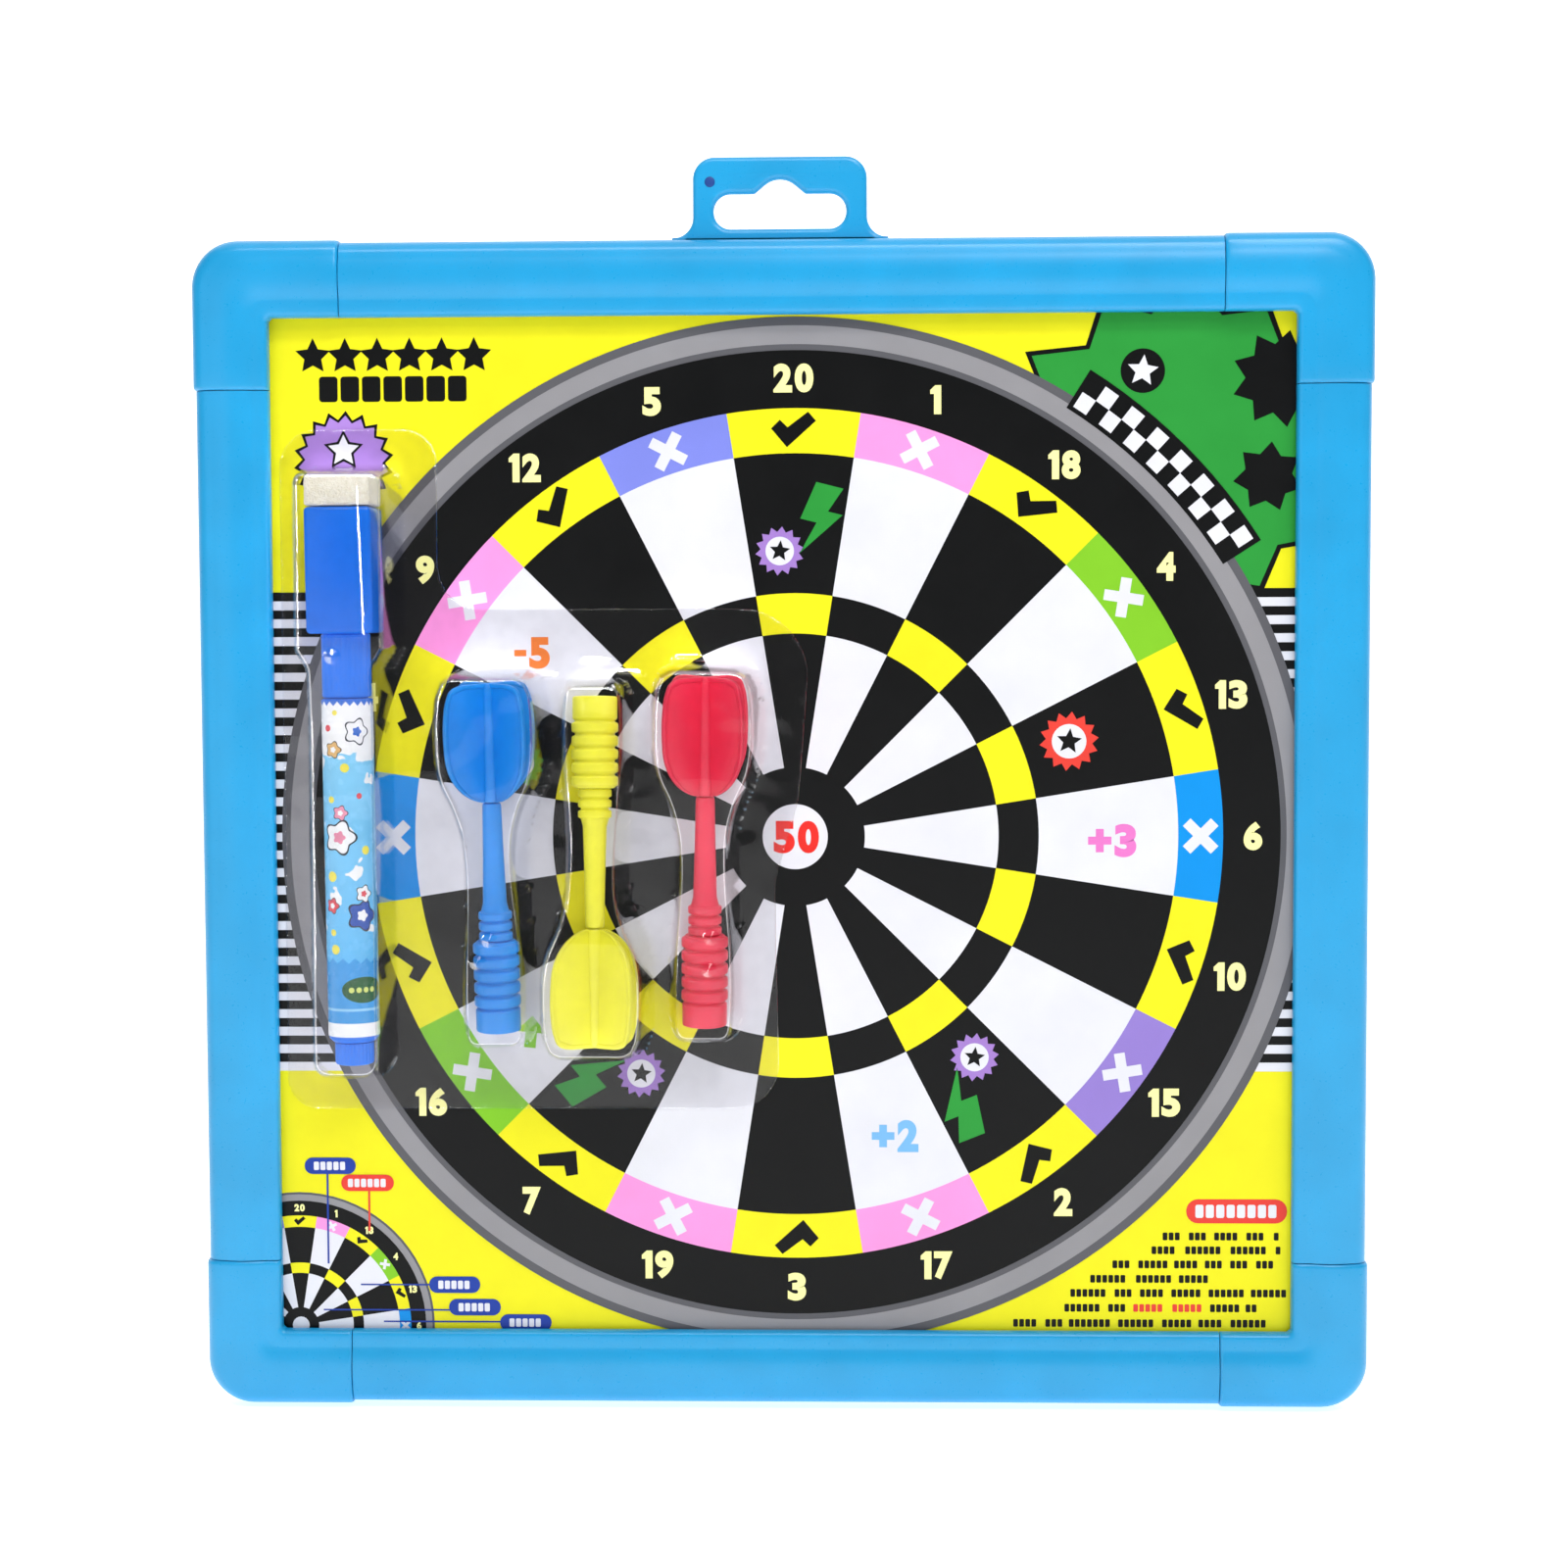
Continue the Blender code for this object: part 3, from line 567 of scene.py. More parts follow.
def rail_profile(proud):
    """Section of a rail as (out from the opening, depth). proud lifts its face and its outer side."""
    face = FACE_DEPTH + SLEEVE_PROUD - proud
    outer = RAIL_WIDTH - SLEEVE_PROUD + proud
    section = [(0, GROOVE_FRONT), (-LIP, GROOVE_FRONT - 0.5), (-LIP, face + 2.5),
               (-LIP + 0.12, face + 1.9), (-LIP + 0.4, face + 1.4), (-LIP + 0.85, face + 1.1),
               (-LIP + 1.4, face + 0.98), (2.4, face + 0.95), (3.4, face + 0.93)]
    crown_end = outer - EDGE_WIDTH
    for step in range(11):
        out = CROWN_START + (crown_end - CROWN_START) * step / 10
        section.append((out, face + CROWN_RISE * (step / 5 - 1) ** 2))
    for step in range(1, 8):
        angle = pi / 2 * step / 7
        section.append((crown_end + EDGE_WIDTH * sin(angle),
                        face + CROWN_RISE + EDGE_DEPTH * (1 - cos(angle))))
    back = BACK_DEPTH
    return section + [(outer, back - 1.5), (outer - 0.45, back - 0.45), (outer - 1.5, back),
                      (0.8, back), (0.2, back - 0.25), (0, back - 0.8), (0, GROOVE_BACK),
                      (GROOVE_DEPTH, GROOVE_BACK), (GROOVE_DEPTH, GROOVE_FRONT)]


def rail_shape():
    """The top rail about the frame's centre."""
    half = FRAME_HALF - CORNER_LEG - SEAM / 2
    profile = rail_profile(-0.2)
    stations = 24
    return loft([[(half * (2 * step / stations - 1), depth, OPENING_HALF + out) for out, depth in profile]
                 for step in range(stations + 1)])


def outline_hit(angle):
    """Distance from the opening's corner arc to the rounded outside, along a ray."""
    side = FRAME_HALF - (OPENING_HALF - OPENING_RADIUS)
    arc_centre = side - CORNER_RADIUS
    ray = Vector((cos(angle), sin(angle)))
    straight = side / max(ray)
    if min(ray) * straight <= arc_centre:
        return straight
    middle = Vector((arc_centre, arc_centre))
    along = ray.dot(middle)
    return along + sqrt(along ** 2 - middle.length_squared + CORNER_RADIUS ** 2)


def corner_rays():
    """Inner and outer point of each section round the corner, and how proud it stands."""
    end = FRAME_HALF - CORNER_LEG
    leg = []
    for along, proud in ((0, -0.15), (0.2, 0.12), (0.55, 0.32), (1.1, 0.4), (6, 0.4), (12, 0.4)):
        leg.append((Vector((OPENING_HALF, end + along)), Vector((FRAME_HALF, end + along)), proud))
    fan = []
    centre = Vector((OPENING_HALF - OPENING_RADIUS,) * 2)
    steps = 26
    for step in range(steps + 1):
        angle = pi / 2 * step / steps
        ray = Vector((cos(angle), sin(angle)))
        fan.append((centre + ray * OPENING_RADIUS, centre + ray * outline_hit(angle), SLEEVE_PROUD))
    return leg + fan + [(inner.yx, outer.yx, proud) for inner, outer, proud in reversed(leg)]


def corner_shape():
    """The top right corner sleeve about the frame's centre."""
    rings = []
    for inner, outer, proud in corner_rays():
        across = (outer - inner) / RAIL_WIDTH
        places = [(inner + across * out, depth) for out, depth in rail_profile(proud)]
        rings.append([(place.x, depth, place.y) for place, depth in places])
    return loft(rings)


def build_frame(finish):
    """Crowned rails, then corner sleeves, clockwise from the top."""
    rails = ("top", "right", "bottom", "left")
    corners = ("top_right", "bottom_right", "bottom_left", "top_left")
    for names, shape, kind, node in ((rails, rail_shape, "_rail_crowned", "_rail"),
                                     (corners, corner_shape, "_sleeve", "_corner")):
        for quarter, name in enumerate(names):
            place = ON_FRAME @ Matrix.Rotation(radians(90 * quarter), 4, "Y")
            finished(name + kind, shape(), finish, "board", place, node=name + node)


def build_hanger(finish, dimple_shade):
    """Hanging tab with softly rounded rims, and a small round disc where its moulding gate left a dimple;
    the disc's darker blue is painted shade standing for that shaded dimple.
    """
    right = [(29, FRAME_HALF - 1.5, 0), (29, FRAME_HALF + 0.2, 0.1), (TAB_HALF, FRAME_HALF + 0.2, 5.4),
             (TAB_HALF, FRAME_HALF + TAB_RISE, 5.8)]
    low = FRAME_HALF + SLOT_RISE
    high = low + SLOT_HEIGHT
    slot_right = [(SLOT_HALF, low, 4.5), (SLOT_HALF, high, 4.5), (6.8, high, 1.2)]
    slot = rounded(mirrored(slot_right, [(0, high + 5.7, 6.2)]), 10)
    shape = slab([rounded(mirrored(right), 10), slot], TAB_FRONT, TAB_BACK, TAB_EDGE)
    finished("hanging_tab", shape, finish, "board", ON_FRAME, node="hanger_tab")
    dot = turned([(0, -0.25), (1.0, -0.3), (1.35, -0.15), (1.45, 0.2), (0, 0.2)], 32)
    lay = Matrix.Translation((-18.7, TAB_FRONT, FRAME_HALF + 14.8)) @ Matrix.Rotation(-pi / 2, 4, "X")
    finished("gate_mark", dot, dimple_shade, "board", ON_FRAME @ lay)


# ---------------------------------------------------------------- printed face

# Characters drawn straight, in a box of one by one, then how far the rest are thickened, and the width
# and height of those that are not digit shaped
DRAWN = {
    "1": [(-0.5, 0.2), (-0.5, 0.34), (-0.05, 0.5), (0.5, 0.5), (0.5, -0.5), (-0.16, -0.5), (-0.16, 0.2)],
    "-": [(-0.5, -0.5), (-0.5, 0.5), (0.5, 0.5), (0.5, -0.5)],
    "+": [(-0.5, -0.17), (-0.5, 0.17), (-0.17, 0.17), (-0.17, 0.5), (0.17, 0.5), (0.17, 0.17),
          (0.5, 0.17), (0.5, -0.17), (0.17, -0.17), (0.17, -0.5), (-0.17, -0.5), (-0.17, -0.17)],
}
GLYPH_WEIGHT = 0.055
GLYPH_SIZES = {"1": (0.38, 1.0), "-": (0.38, 0.2), "+": (0.7, 0.7)}


class Ink:
    """All the plates of one colour, gathered into one piece."""

    def __init__(self, name, colour):
        self.name = name
        self.finish = ink(name, colour)
        self.shape = bmesh.new()

    def plate(self, outline, level):
        """Thin closed plate, cut off at the edge of the print."""
        outline = clipped(outline)
        if len(outline) < 3:
            return
        front = [self.shape.verts.new((x, -INK_STEP * level, z)) for x, z in outline]
        back = [self.shape.verts.new((x, 0, z)) for x, z in outline]
        self.shape.faces.new(front)
        self.shape.faces.new(list(reversed(back)))
        for index in range(len(outline)):
            self.shape.faces.new((front[index - 1], back[index - 1], back[index], front[index]))

    def ring(self, inner, outer, level, steps):
        """Full ring about the bull's-eye."""
        low = -INK_STEP * level
        section = ((inner, low), (outer, low), (outer, 0), (inner, 0))
        rings = [[(radius * sin(angle), depth, radius * cos(angle)) for radius, depth in section]
                 for angle in full_turn(steps)]
        self.shape = merged(self.shape, loft(rings, closed=True))

    def glyph(self, character, centre, size, level):
        """One heavy character, fitted to a width and a height. A nine is a six turned half round."""
        if character in DRAWN:
            outline = [(centre[0] + x * size[0], centre[1] + z * size[1]) for x, z in DRAWN[character]]
            self.plate(outline, level)
            return
        side = -1 if character == "9" else 1
        curve = bpy.data.curves.new("lettering", "FONT")
        curve.body = "6" if character == "9" else character
        curve.offset = GLYPH_WEIGHT
        curve.extrude = 0.5
        curve.resolution_u = 6
        letters = taken(curve)
        bmesh.ops.remove_doubles(letters, verts=letters.verts, dist=0.0001)
        points = np.array([vert.co[:2] for vert in letters.verts])
        low, high = points.min(0), points.max(0)
        points = (points - (low + high) / 2) / (high - low) * side * np.array(size) + np.array(centre)
        for vert, (x, z) in zip(letters.verts, points):
            vert.co = (x, -INK_STEP * level if vert.co.z > 0 else 0, z)
        self.shape = merged(self.shape, letters)

    def text(self, words, centre, height, level):
        """Heavy condensed characters side by side."""
        sizes = [GLYPH_SIZES.get(character, (0.65, 1.0)) for character in words]
        gap = 0.09 * height
        total = sum(width for width, _ in sizes) * height + gap * (len(words) - 1)
        left = centre[0] - total / 2
        for character, (width, tall) in zip(words, sizes):
            size = (width * height, tall * height)
            self.glyph(character, (left + size[0] / 2, centre[1]), size, level)
            left += size[0] + gap

    def piece(self):
        """Hand the colour over as one finished piece."""
        finished("print_" + self.name, self.shape, self.finish, "board", angle=20)


def clipped(outline):
    """The part of an outline that lies inside the print's edges."""
    edges = ((0, PRINT_LEFT, 1), (0, PRINT_RIGHT, -1), (1, PRINT_LOW, 1), (1, PRINT_TOP, -1))
    for axis, limit, side in edges:
        kept = []
        for index, point in enumerate(outline):
            last = outline[index - 1]
            here_in = (point[axis] - limit) * side >= 0
            last_in = (last[axis] - limit) * side >= 0
            if here_in != last_in:
                share = (limit - last[axis]) / (point[axis] - last[axis])
                kept.append(tuple(last[k] + share * (point[k] - last[k]) for k in (0, 1)))
            if here_in:
                kept.append(point)
        outline = kept
    return outline


def sector(inner, outer, start, end, centre=(0, 0), scale=1.0, steps=12):
    """Outline of a piece of a ring between two angles."""
    outer_arc = [polar(outer * scale, start + (end - start) * k / steps, centre) for k in range(steps + 1)]
    inner_arc = [polar(inner * scale, end + (start - end) * k / steps, centre) for k in range(steps + 1)]
    return outer_arc + inner_arc


def disc(radius, centre=(0, 0), steps=48):
    """Outline of a circle."""
    return [polar(radius, angle, centre) for angle in full_turn(steps)]


def star(points, outer, inner, centre, turn=0.0, lengths=(1.0,)):
    """Outline of a star; lengths scales its points one after another."""
    outline = []
    for index in range(points):
        reach = outer * lengths[index % len(lengths)]
        outline.append(polar(reach, turn + 2 * pi * index / points, centre))
        outline.append(polar(inner, turn + 2 * pi * (index + 0.5) / points, centre))
    return outline


def turned_outline(outline, centre, turn, size=1.0):
    """An outline about the origin, scaled, turned clockwise and moved."""
    moved = []
    for x, z in outline:
        moved.append((centre[0] + size * (x * cos(turn) + z * sin(turn)),
                      centre[1] + size * (-x * sin(turn) + z * cos(turn))))
    return moved


def oblong(left, right, low, high):
    """Outline of a plain upright rectangle."""
    return [(left, low), (left, high), (right, high), (right, low)]


def bar(left, right, middle, height, radius=None):
    """Outline of a level bar with rounded ends."""
    radius = height * 0.48 if radius is None else radius
    corners = oblong(left, right, middle - height / 2, middle + height / 2)
    return rounded([(x, z, radius) for x, z in corners])


TICK = [(-6.0, 0.6), (-3.7, 2.9), (-1.6, 0.9), (3.9, 5.0), (6.0, 2.6), (-1.8, -4.4)]
BOLT = [(-2.4, 6.0), (2.6, 6.0), (0.9, 1.4), (3.6, 1.4), (-2.2, -7.0), (-0.6, -1.0), (-3.6, -1.0)]
ARROW = [(0, 4.2), (4.0, -0.2), (1.5, -0.2), (1.5, -4.2), (-1.5, -4.2), (-1.5, -0.2), (-4.0, -0.2)]


def cross_outline(reach, width):
    """Outline of a diagonal cross."""
    near = width / 2
    quarter = [(near, near), (near, reach), (-near, reach)]
    outline = []
    for turn in range(4):
        outline += turned_outline(quarter, (0, 0), -pi / 2 * turn)
    return turned_outline(outline, (0, 0), pi / 4)


def dial_face(inks, centre=(0, 0), scale=1.0, level=WEDGES):
    """Wedges, middle ring and band of a dial, with a number and a tick or cross in each sector."""
    for index, number in enumerate(SECTOR_NUMBERS):
        angle = SECTOR * index
        is_ticked = index % 2 == 0

        def paint(name, inner, outer):
            outline = sector(inner, outer, angle - SECTOR / 2, angle + SECTOR / 2, centre, scale)
            inks[name].plate(outline, level)

        if is_ticked:
            paint("yellow", INNER_WEDGE, MIDDLE_RING)
            paint("yellow", OUTER_WEDGE, BAND)
            name, outline = "black", TICK
        else:
            paint("white", HUB, INNER_WEDGE)
            paint("white", MIDDLE_RING, OUTER_WEDGE)
            paint(BAND_INKS[number], OUTER_WEDGE, BAND)
            name, outline = "white", cross_outline(5.3, 2.9)
        middle = polar((OUTER_WEDGE + BAND) / 2 * scale, angle, centre)
        inks[name].plate(turned_outline(outline, middle, angle, scale), level + 1)
        spot = polar(NUMBER_RADIUS * scale, angle, centre)
        if PRINT_LEFT + 4 < spot[0] < PRINT_RIGHT and PRINT_LOW + 2 < spot[1]:
            inks["pale"].text(str(number), spot, NUMBER_HEIGHT * scale, level)


def badge(inks, colour, centre, size):
    """Spiky round badge with a star in its white middle."""
    inks[colour].plate(star(14, size, size * 0.78, centre, 0.1), SIGNS)
    inks["white"].plate(disc(size * 0.58, centre, 32), SIGNS + 1)
    inks["black"].plate(star(5, size * 0.44, size * 0.2, centre, 0.1), SIGNS + 2)


def sector_signs(inks):
    """Signs in single sectors: scores, an arrow, badges and bolts."""
    for name, words, centre, height, level in (
            ("orange", "-5", (-70.8, 49.8), 8.6, SIGNS), ("rose", "+3", (85.3, -1.2), 9.0, SIGNS),
            ("sky", "+2", (26.8, -81.5), 8.8, SIGNS), ("red", "50", (0.3, -0.1), 8.8, SIGNS + 1)):
        inks[name].text(words, centre, height, level)
    inks["lime"].plate(turned_outline(ARROW, (-72, -53), 0.1, 1.05), SIGNS)
    for number, colour in ((20, "purple"), (13, "scarlet"), (2, "purple"), (7, "purple"), (14, "green")):
        angle = SECTOR * SECTOR_NUMBERS.index(number)
        if number == 13:
            badge(inks, colour, polar(78, angle - 0.02), 8.0)
            continue
        badge(inks, colour, polar(77, angle - 0.05), 6.6)
        bolt = turned_outline(BOLT, polar(86, angle + 0.085), angle + 0.25, 1.5)
        inks["green"].plate(bolt, SIGNS)


def stripes(inks):
    """Level black bars on white, from the film's sides in under the dial's rim."""
    top, low = 66.4, -63.8
    pairs = 27
    pitch = (top - low) / pairs

    def bars(side, edge, high, depth, name, level):
        """One bar, or the whole white ground, whose inner end follows the rim."""
        steps = max(2, int(depth))
        inner = []
        for step in range(steps + 1):
            z = high - depth * step / steps
            inner.append((side * sqrt((RIM_EDGE - 3) ** 2 - z ** 2), z))
        inks[name].plate([(edge, high - depth), (edge, high)] + inner, level)

    for side, edge in ((-1, PRINT_LEFT), (1, PRINT_RIGHT)):
        bars(side, edge, top, top - low, "white", 1)
        for index in range(pairs):
            bars(side, edge, top - index * pitch, pitch / 2, "black", 2)


def comic_burst(inks):
    """Green burst with a dark edge behind the dial's rim, with dark bursts and a star disc on it."""
    centre = (104, 104)
    lengths = (1.0, 0.93, 1.04, 0.96)
    spot = (93.1, 124.3)
    for name, outline, level in (("black", star(12, 47.4, 37.6, centre, 0.02, lengths), 0),
                                 ("green", star(12, 45.4, 36.2, centre, 0.02, lengths), 1),
                                 ("black", disc(5.9, spot), 2), ("white", star(5, 4.3, 2.0, spot, 0.1), 3),
                                 ("black", star(9, 13.0, 9.2, (129.5, 122), 0.2), 2),
                                 ("black", star(7, 9.4, 6.4, (126.5, 96), 0.1), 2)):
        inks[name].plate(outline, BURST + level)
    chequered_arc(inks)


def chequered_arc(inks):
    """Two rows of black and white squares along the rim, in front of the burst."""
    start, end, squares = radians(33), radians(57), 14
    step = (end - start) / squares
    inks["black"].plate(sector(RIM_GREY - 1.2, RIM_EDGE + 8.4, start - 0.01, end + 0.01), RIM + 2)
    for row in range(2):
        inner = RIM_GREY + row * 4.6
        for index in range(squares):
            if (index + row) % 2 == 0:
                first = start + index * step
                inks["white"].plate(sector(inner, inner + 4.6, first, first + step, steps=4), RIM + 3)


def purple_burst(inks):
    """Spiky purple burst with a star, behind the end of the marker."""
    for level, name, points, outer, inner, height, turn in (
            (2, "black", 18, 13.6, 11.2, 101.5, 0.05), (3, "purple", 18, 12.3, 10.4, 101.5, 0.05),
            (4, "black", 5, 5.6, 2.9, 104.4, 0.0), (5, "white", 5, 4.3, 2.1, 104.4, 0.0)):
        inks[name].plate(star(points, outer, inner, (-121.2, height), turn), level)


def star_row(inks):
    """Row of plain stars over a row of blocks, at the top left."""
    for index in range(6):
        inks["black"].plate(star(5, 4.9, 2.4, (-129.2 + index * 8.7, 129.6)), 2)
    for index in range(7):
        left = -127.6 + index * 5.8
        inks["black"].plate(bar(left, left + 5.0, 120.8, 6.8, 0.9), 2)


def blocks(colour, left, right, middle, height, level):
    """Row of small upright blocks where a label would have a word."""
    pitch = 0.78 * height
    count = max(1, int((right - left) / pitch))
    start = (left + right - count * pitch) / 2
    for index in range(count):
        low = start + index * pitch
        colour.plate(bar(low, low + 0.78 * pitch, middle, height, 0.15 * height), level)


# The small dial, its labels as ink, left, right and height, and the lines from them: upright ones as
# ink, x, low and high, level ones as left, right and height
SMALL_CENTRE = (-136.1, -134.1)
SMALL_RADIUS = 36.8
LABELS = (
    ("navy", -134.5, -120.5, -90.0), ("scarlet", -124.5, -110.1, -94.7), ("navy", -100.7, -86.7, -122.8),
    ("navy", -95.3, -81.1, -129.0), ("navy", -81.3, -67.2, -133.2),
)
UPRIGHT_LINES = (("navy", -128.3, -117, -91.4), ("scarlet", -116.9, -108, -96.4))
LEVEL_LINES = ((-119.5, -99.9, -122.8), (-129.8, -94.8, -129.8), (-113.3, -80.9, -133.0))


def small_dial(inks):
    """Small copy of the dial in the bottom left corner, with labels that point at its rings."""
    centre = SMALL_CENTRE
    scale = SMALL_RADIUS / RIM_EDGE
    for name, radius, level in (("rim", RIM_EDGE, 1), ("grey", RIM_GREY, 2), ("black", NUMBER_RING, 3)):
        inks[name].plate(disc(radius * scale, centre, 72), level)
    dial_face(inks, centre, scale, 4)
    inks["white"].plate(disc(BULL * scale, centre, 20), 4)
    for name, left, right, middle in LABELS:
        inks[name].plate(bar(left, right, middle, 4.5), 7)
        blocks(inks["white"], left + 1.8, right - 1.8, middle, 2.3, 8)
    for name, x, low, high in UPRIGHT_LINES:
        inks[name].plate(oblong(x - 0.25, x + 0.25, low, high), 6)
    for left, right, z in LEVEL_LINES:
        inks["navy"].plate(oblong(left, right, z - 0.2, z + 0.2), 6)


# Rows of rules, as left, right and height, and where one row turns red
RULE_ROWS = ((98.6, 131.7, -108.9), (95.8, 132.1, -112.7), (85.1, 132.1, -116.6), (78.9, 111.9, -120.6),
             (74.0, 133.2, -124.5), (72.1, 125.1, -128.6), (58.1, 131.7, -132.8))
RED_HEIGHT, RED_START, RED_END = -128.6, 88, 104


def rule_lines(inks):
    """Rows of small blocks where rules would be printed, under a red heading bar."""
    inks["scarlet"].plate(bar(105.6, 132.8, -102.0, 6.6), 2)
    blocks(inks["white"], 108.0, 130.6, -102.0, 3.6, 3)
    spread = random.Random(4)
    for left, right, z in RULE_ROWS:
        x = left
        while x < right - 3:
            width = min(spread.uniform(4.5, 12.0), right - x)
            name = "scarlet" if z == RED_HEIGHT and RED_START < x < RED_END else "black"
            blocks(inks[name], x, x + width, z, 2.1, 2)
            x += width + 1.3


INKS = {
    "yellow": (234, 228, 30), "black": (12, 13, 14), "white": (223, 224, 232), "pale": (248, 246, 168),
    "grey": (144, 143, 147), "rim": (92, 92, 97), "pink": (240, 150, 215), "lime": (128, 196, 42),
    "azure": (6, 142, 224), "violet": (146, 124, 203), "periwinkle": (124, 134, 222),
    "orange": (230, 126, 58), "rose": (226, 120, 196), "sky": (120, 182, 232), "red": (226, 46, 40),
    "scarlet": (224, 66, 56), "navy": (36, 64, 158), "green": (44, 148, 58), "purple": (160, 124, 200),
}


def build_print():
    """Every ink on the film, as thin plates."""
    inks = {name: Ink(name, srgb(*colour)) for name, colour in INKS.items()}
    stripes(inks)
    inks["rim"].ring(NUMBER_RING - 0.2, RIM_EDGE, RIM, 240)
    inks["grey"].ring(RIM_INNER_LINE, RIM_GREY, RIM + 1, 240)
    inks["black"].plate(disc(NUMBER_RING, steps=240), NUMBER_DISC)
    dial_face(inks)
    inks["white"].plate(disc(BULL, steps=64), SIGNS)
    sector_signs(inks)
    comic_burst(inks)
    purple_burst(inks)
    star_row(inks)
    small_dial(inks)
    rule_lines(inks)
    for colour in inks.values():
        colour.piece()
    return inks["yellow"].finish


# ---------------------------------------------------------------- darts

def joint_named(name):
    """A joint of the frame."""
    return next(joint for joint in frame["joints"] if joint["name"] == name)


def dart_place(colour):
    """Matrix of a dart whose axis is z and whose nose is at the origin, leaning on its fins."""
    joint = joint_named(colour + "_dart_tip")
    roll = atan2(-joint["axis"][2], joint["axis"][0])
    fin_height = (FIN_REACH + FIN_THICKNESS / 2) / sqrt(2)
    lean = atan((fin_height - NOSE_RADIUS) / (SHAFT_TOP + FIN_SHOULDER))
    return (Matrix.Translation(joint["pos_m"]) @ Matrix.Rotation(roll, 4, "Y")
            @ Matrix.Rotation(lean, 4, "X") @ Matrix.Scale(MM, 4) @ Matrix.Translation((0, -NOSE_RADIUS, 0)))


def ring_profile(start, count, pitch, crest, root):
    """Flat-topped rings down a turned profile, from the tail side towards the nose."""
    shape = ((0.0, 0.0), (0.1, 0.15), (0.17, 0.75), (0.24, 0.96), (0.34, 1.0), (0.68, 1.0), (0.78, 0.96),
             (0.85, 0.75), (0.92, 0.15))
    points = []
    for index in range(count):
        for share, lift in shape:
            points.append((root + (crest - root) * lift, start - pitch * (index + share)))
    return points


def dart_body_shape():
    """Shaft, ringed grip and open nose cup."""
    grip_start = CUP_LENGTH + GRIP_RINGS * GRIP_PITCH
    neck_start = grip_start + NECK_RINGS * NECK_PITCH
    profile = [(0, 52), (1.6, 52), (1.6, SHAFT_TOP - 0.3), (1.9, SHAFT_TOP), (2.4, SHAFT_TOP - 0.3),
               (2.55, SHAFT_TOP - 1), (2.75, 50), (3.2, neck_start + 2), (3.6, neck_start + 0.4)]
    profile += ring_profile(neck_start, NECK_RINGS, NECK_PITCH, 4.5, 3.7)
    profile += ring_profile(grip_start, GRIP_RINGS, GRIP_PITCH, 6.25, 5.3)
    profile += [(5.3, CUP_LENGTH), (5.6, CUP_LENGTH - 0.2), (6.0, CUP_LENGTH - 0.7), (6.0, 0.5),
                (5.85, 0.15), (5.5, 0), (4.6, 0), (4.3, 0.3), (4.3, 3.6), (0, 3.6)]
    return turned(profile, 72)


def flight_shape():
    """Four crossed fins with rounded rims round a tapering hub."""
    start = SHAFT_TOP + 0.3
    side = smooth_path([(2.8, start), (6.0, start + 0.8), (9.6, start + 3.0), (12.6, start + 6.4),
                        (14.4, start + 10.6), (FIN_REACH, start + 16), (FIN_REACH, start + 21),
                        (14.4, start + 26), (13.3, start + 29.2)])
    outline = mirrored(side + [(12.7, DART_LENGTH - 1.5), (11.6, DART_LENGTH - 0.7),
                               (10.0, DART_LENGTH - 0.2), (8.0, DART_LENGTH)])
    inner_top = DART_LENGTH - FIN_RIM
    window = mirrored([(max(x - FIN_RIM, 0.4), z) for x, z in side[4:]]
                      + [(11.0, inner_top - 0.9), (8.4, inner_top)])
    hub = turned([(0, DART_LENGTH - 0.3), (1.5, DART_LENGTH - 0.3), (1.8, DART_LENGTH - 0.8), (2.0, 84),
                  (2.4, 70), (2.7, start + 0.4), (2.5, start), (1.25, start), (1.25, 52.6), (0, 52.6)], 40)
    fins = []
    for angle in (45, 135):
        web = slab([outline], -FIN_THICKNESS / 2 + 0.25, FIN_THICKNESS / 2 - 0.25, 0.3)
        rim = slab([outline, window], -FIN_THICKNESS / 2, FIN_THICKNESS / 2, 0.4)
        pair = merged(web, rim)
        bmesh.ops.rotate(pair, verts=pair.verts, matrix=Matrix.Rotation(radians(angle), 3, "Z"))
        fins.append(pair)
    return merged(hub, *fins)


def build_dart(colour, plastic, magnet):
    """Body, flight and magnet of one dart."""
    place = dart_place(colour)
    body = colour + "_dart"
    slot = body + "_plastic"
    puck = turned(softened([(0, 3.3), (4, 3.3), (4, 0.3), (0, 0.3)], 0.4), 48)
    for name, shape, finish, kind, node in (("_grip_and_shaft", dart_body_shape(), plastic, slot, "_body"),
                                            ("_fins", flight_shape(), plastic, slot, "_flight"),
                                            ("_nose_magnet", puck, magnet, "ferrite", "_magnet")):
        finished(body + name, shape, finish, body, place, node=body + node)


# ---------------------------------------------------------------- marker

def marker_place():
    """Matrix of the marker, whose axis is z and whose end plug starts at the origin."""
    axis = joint_named("cap_pull")["axis"]
    roll = atan2(axis[0], axis[2])
    low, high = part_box("marker_end_plug")
    foot = Vector(((low.x + high.x) / 2, (low.y + high.y) / 2, low.z))
    return Matrix.Translation(foot) @ Matrix.Rotation(roll, 4, "Y") @ Matrix.Scale(MM, 4)


# The wrap's own colours
WRAP_COLOURS = {
    "white": (250, 251, 252), "yellow": (246, 232, 84), "red": (226, 72, 84), "pink": (238, 150, 176),
    "navy": (44, 84, 176), "blue": (60, 112, 206), "tan": (230, 186, 120), "sky": (96, 190, 244),
    "haze": (140, 212, 248), "edge": (46, 52, 66), "deep": (56, 156, 226), "line": (150, 208, 244),
    "oval": (12, 88, 38), "lime": (214, 226, 120), "zigzag": (44, 110, 214),
}
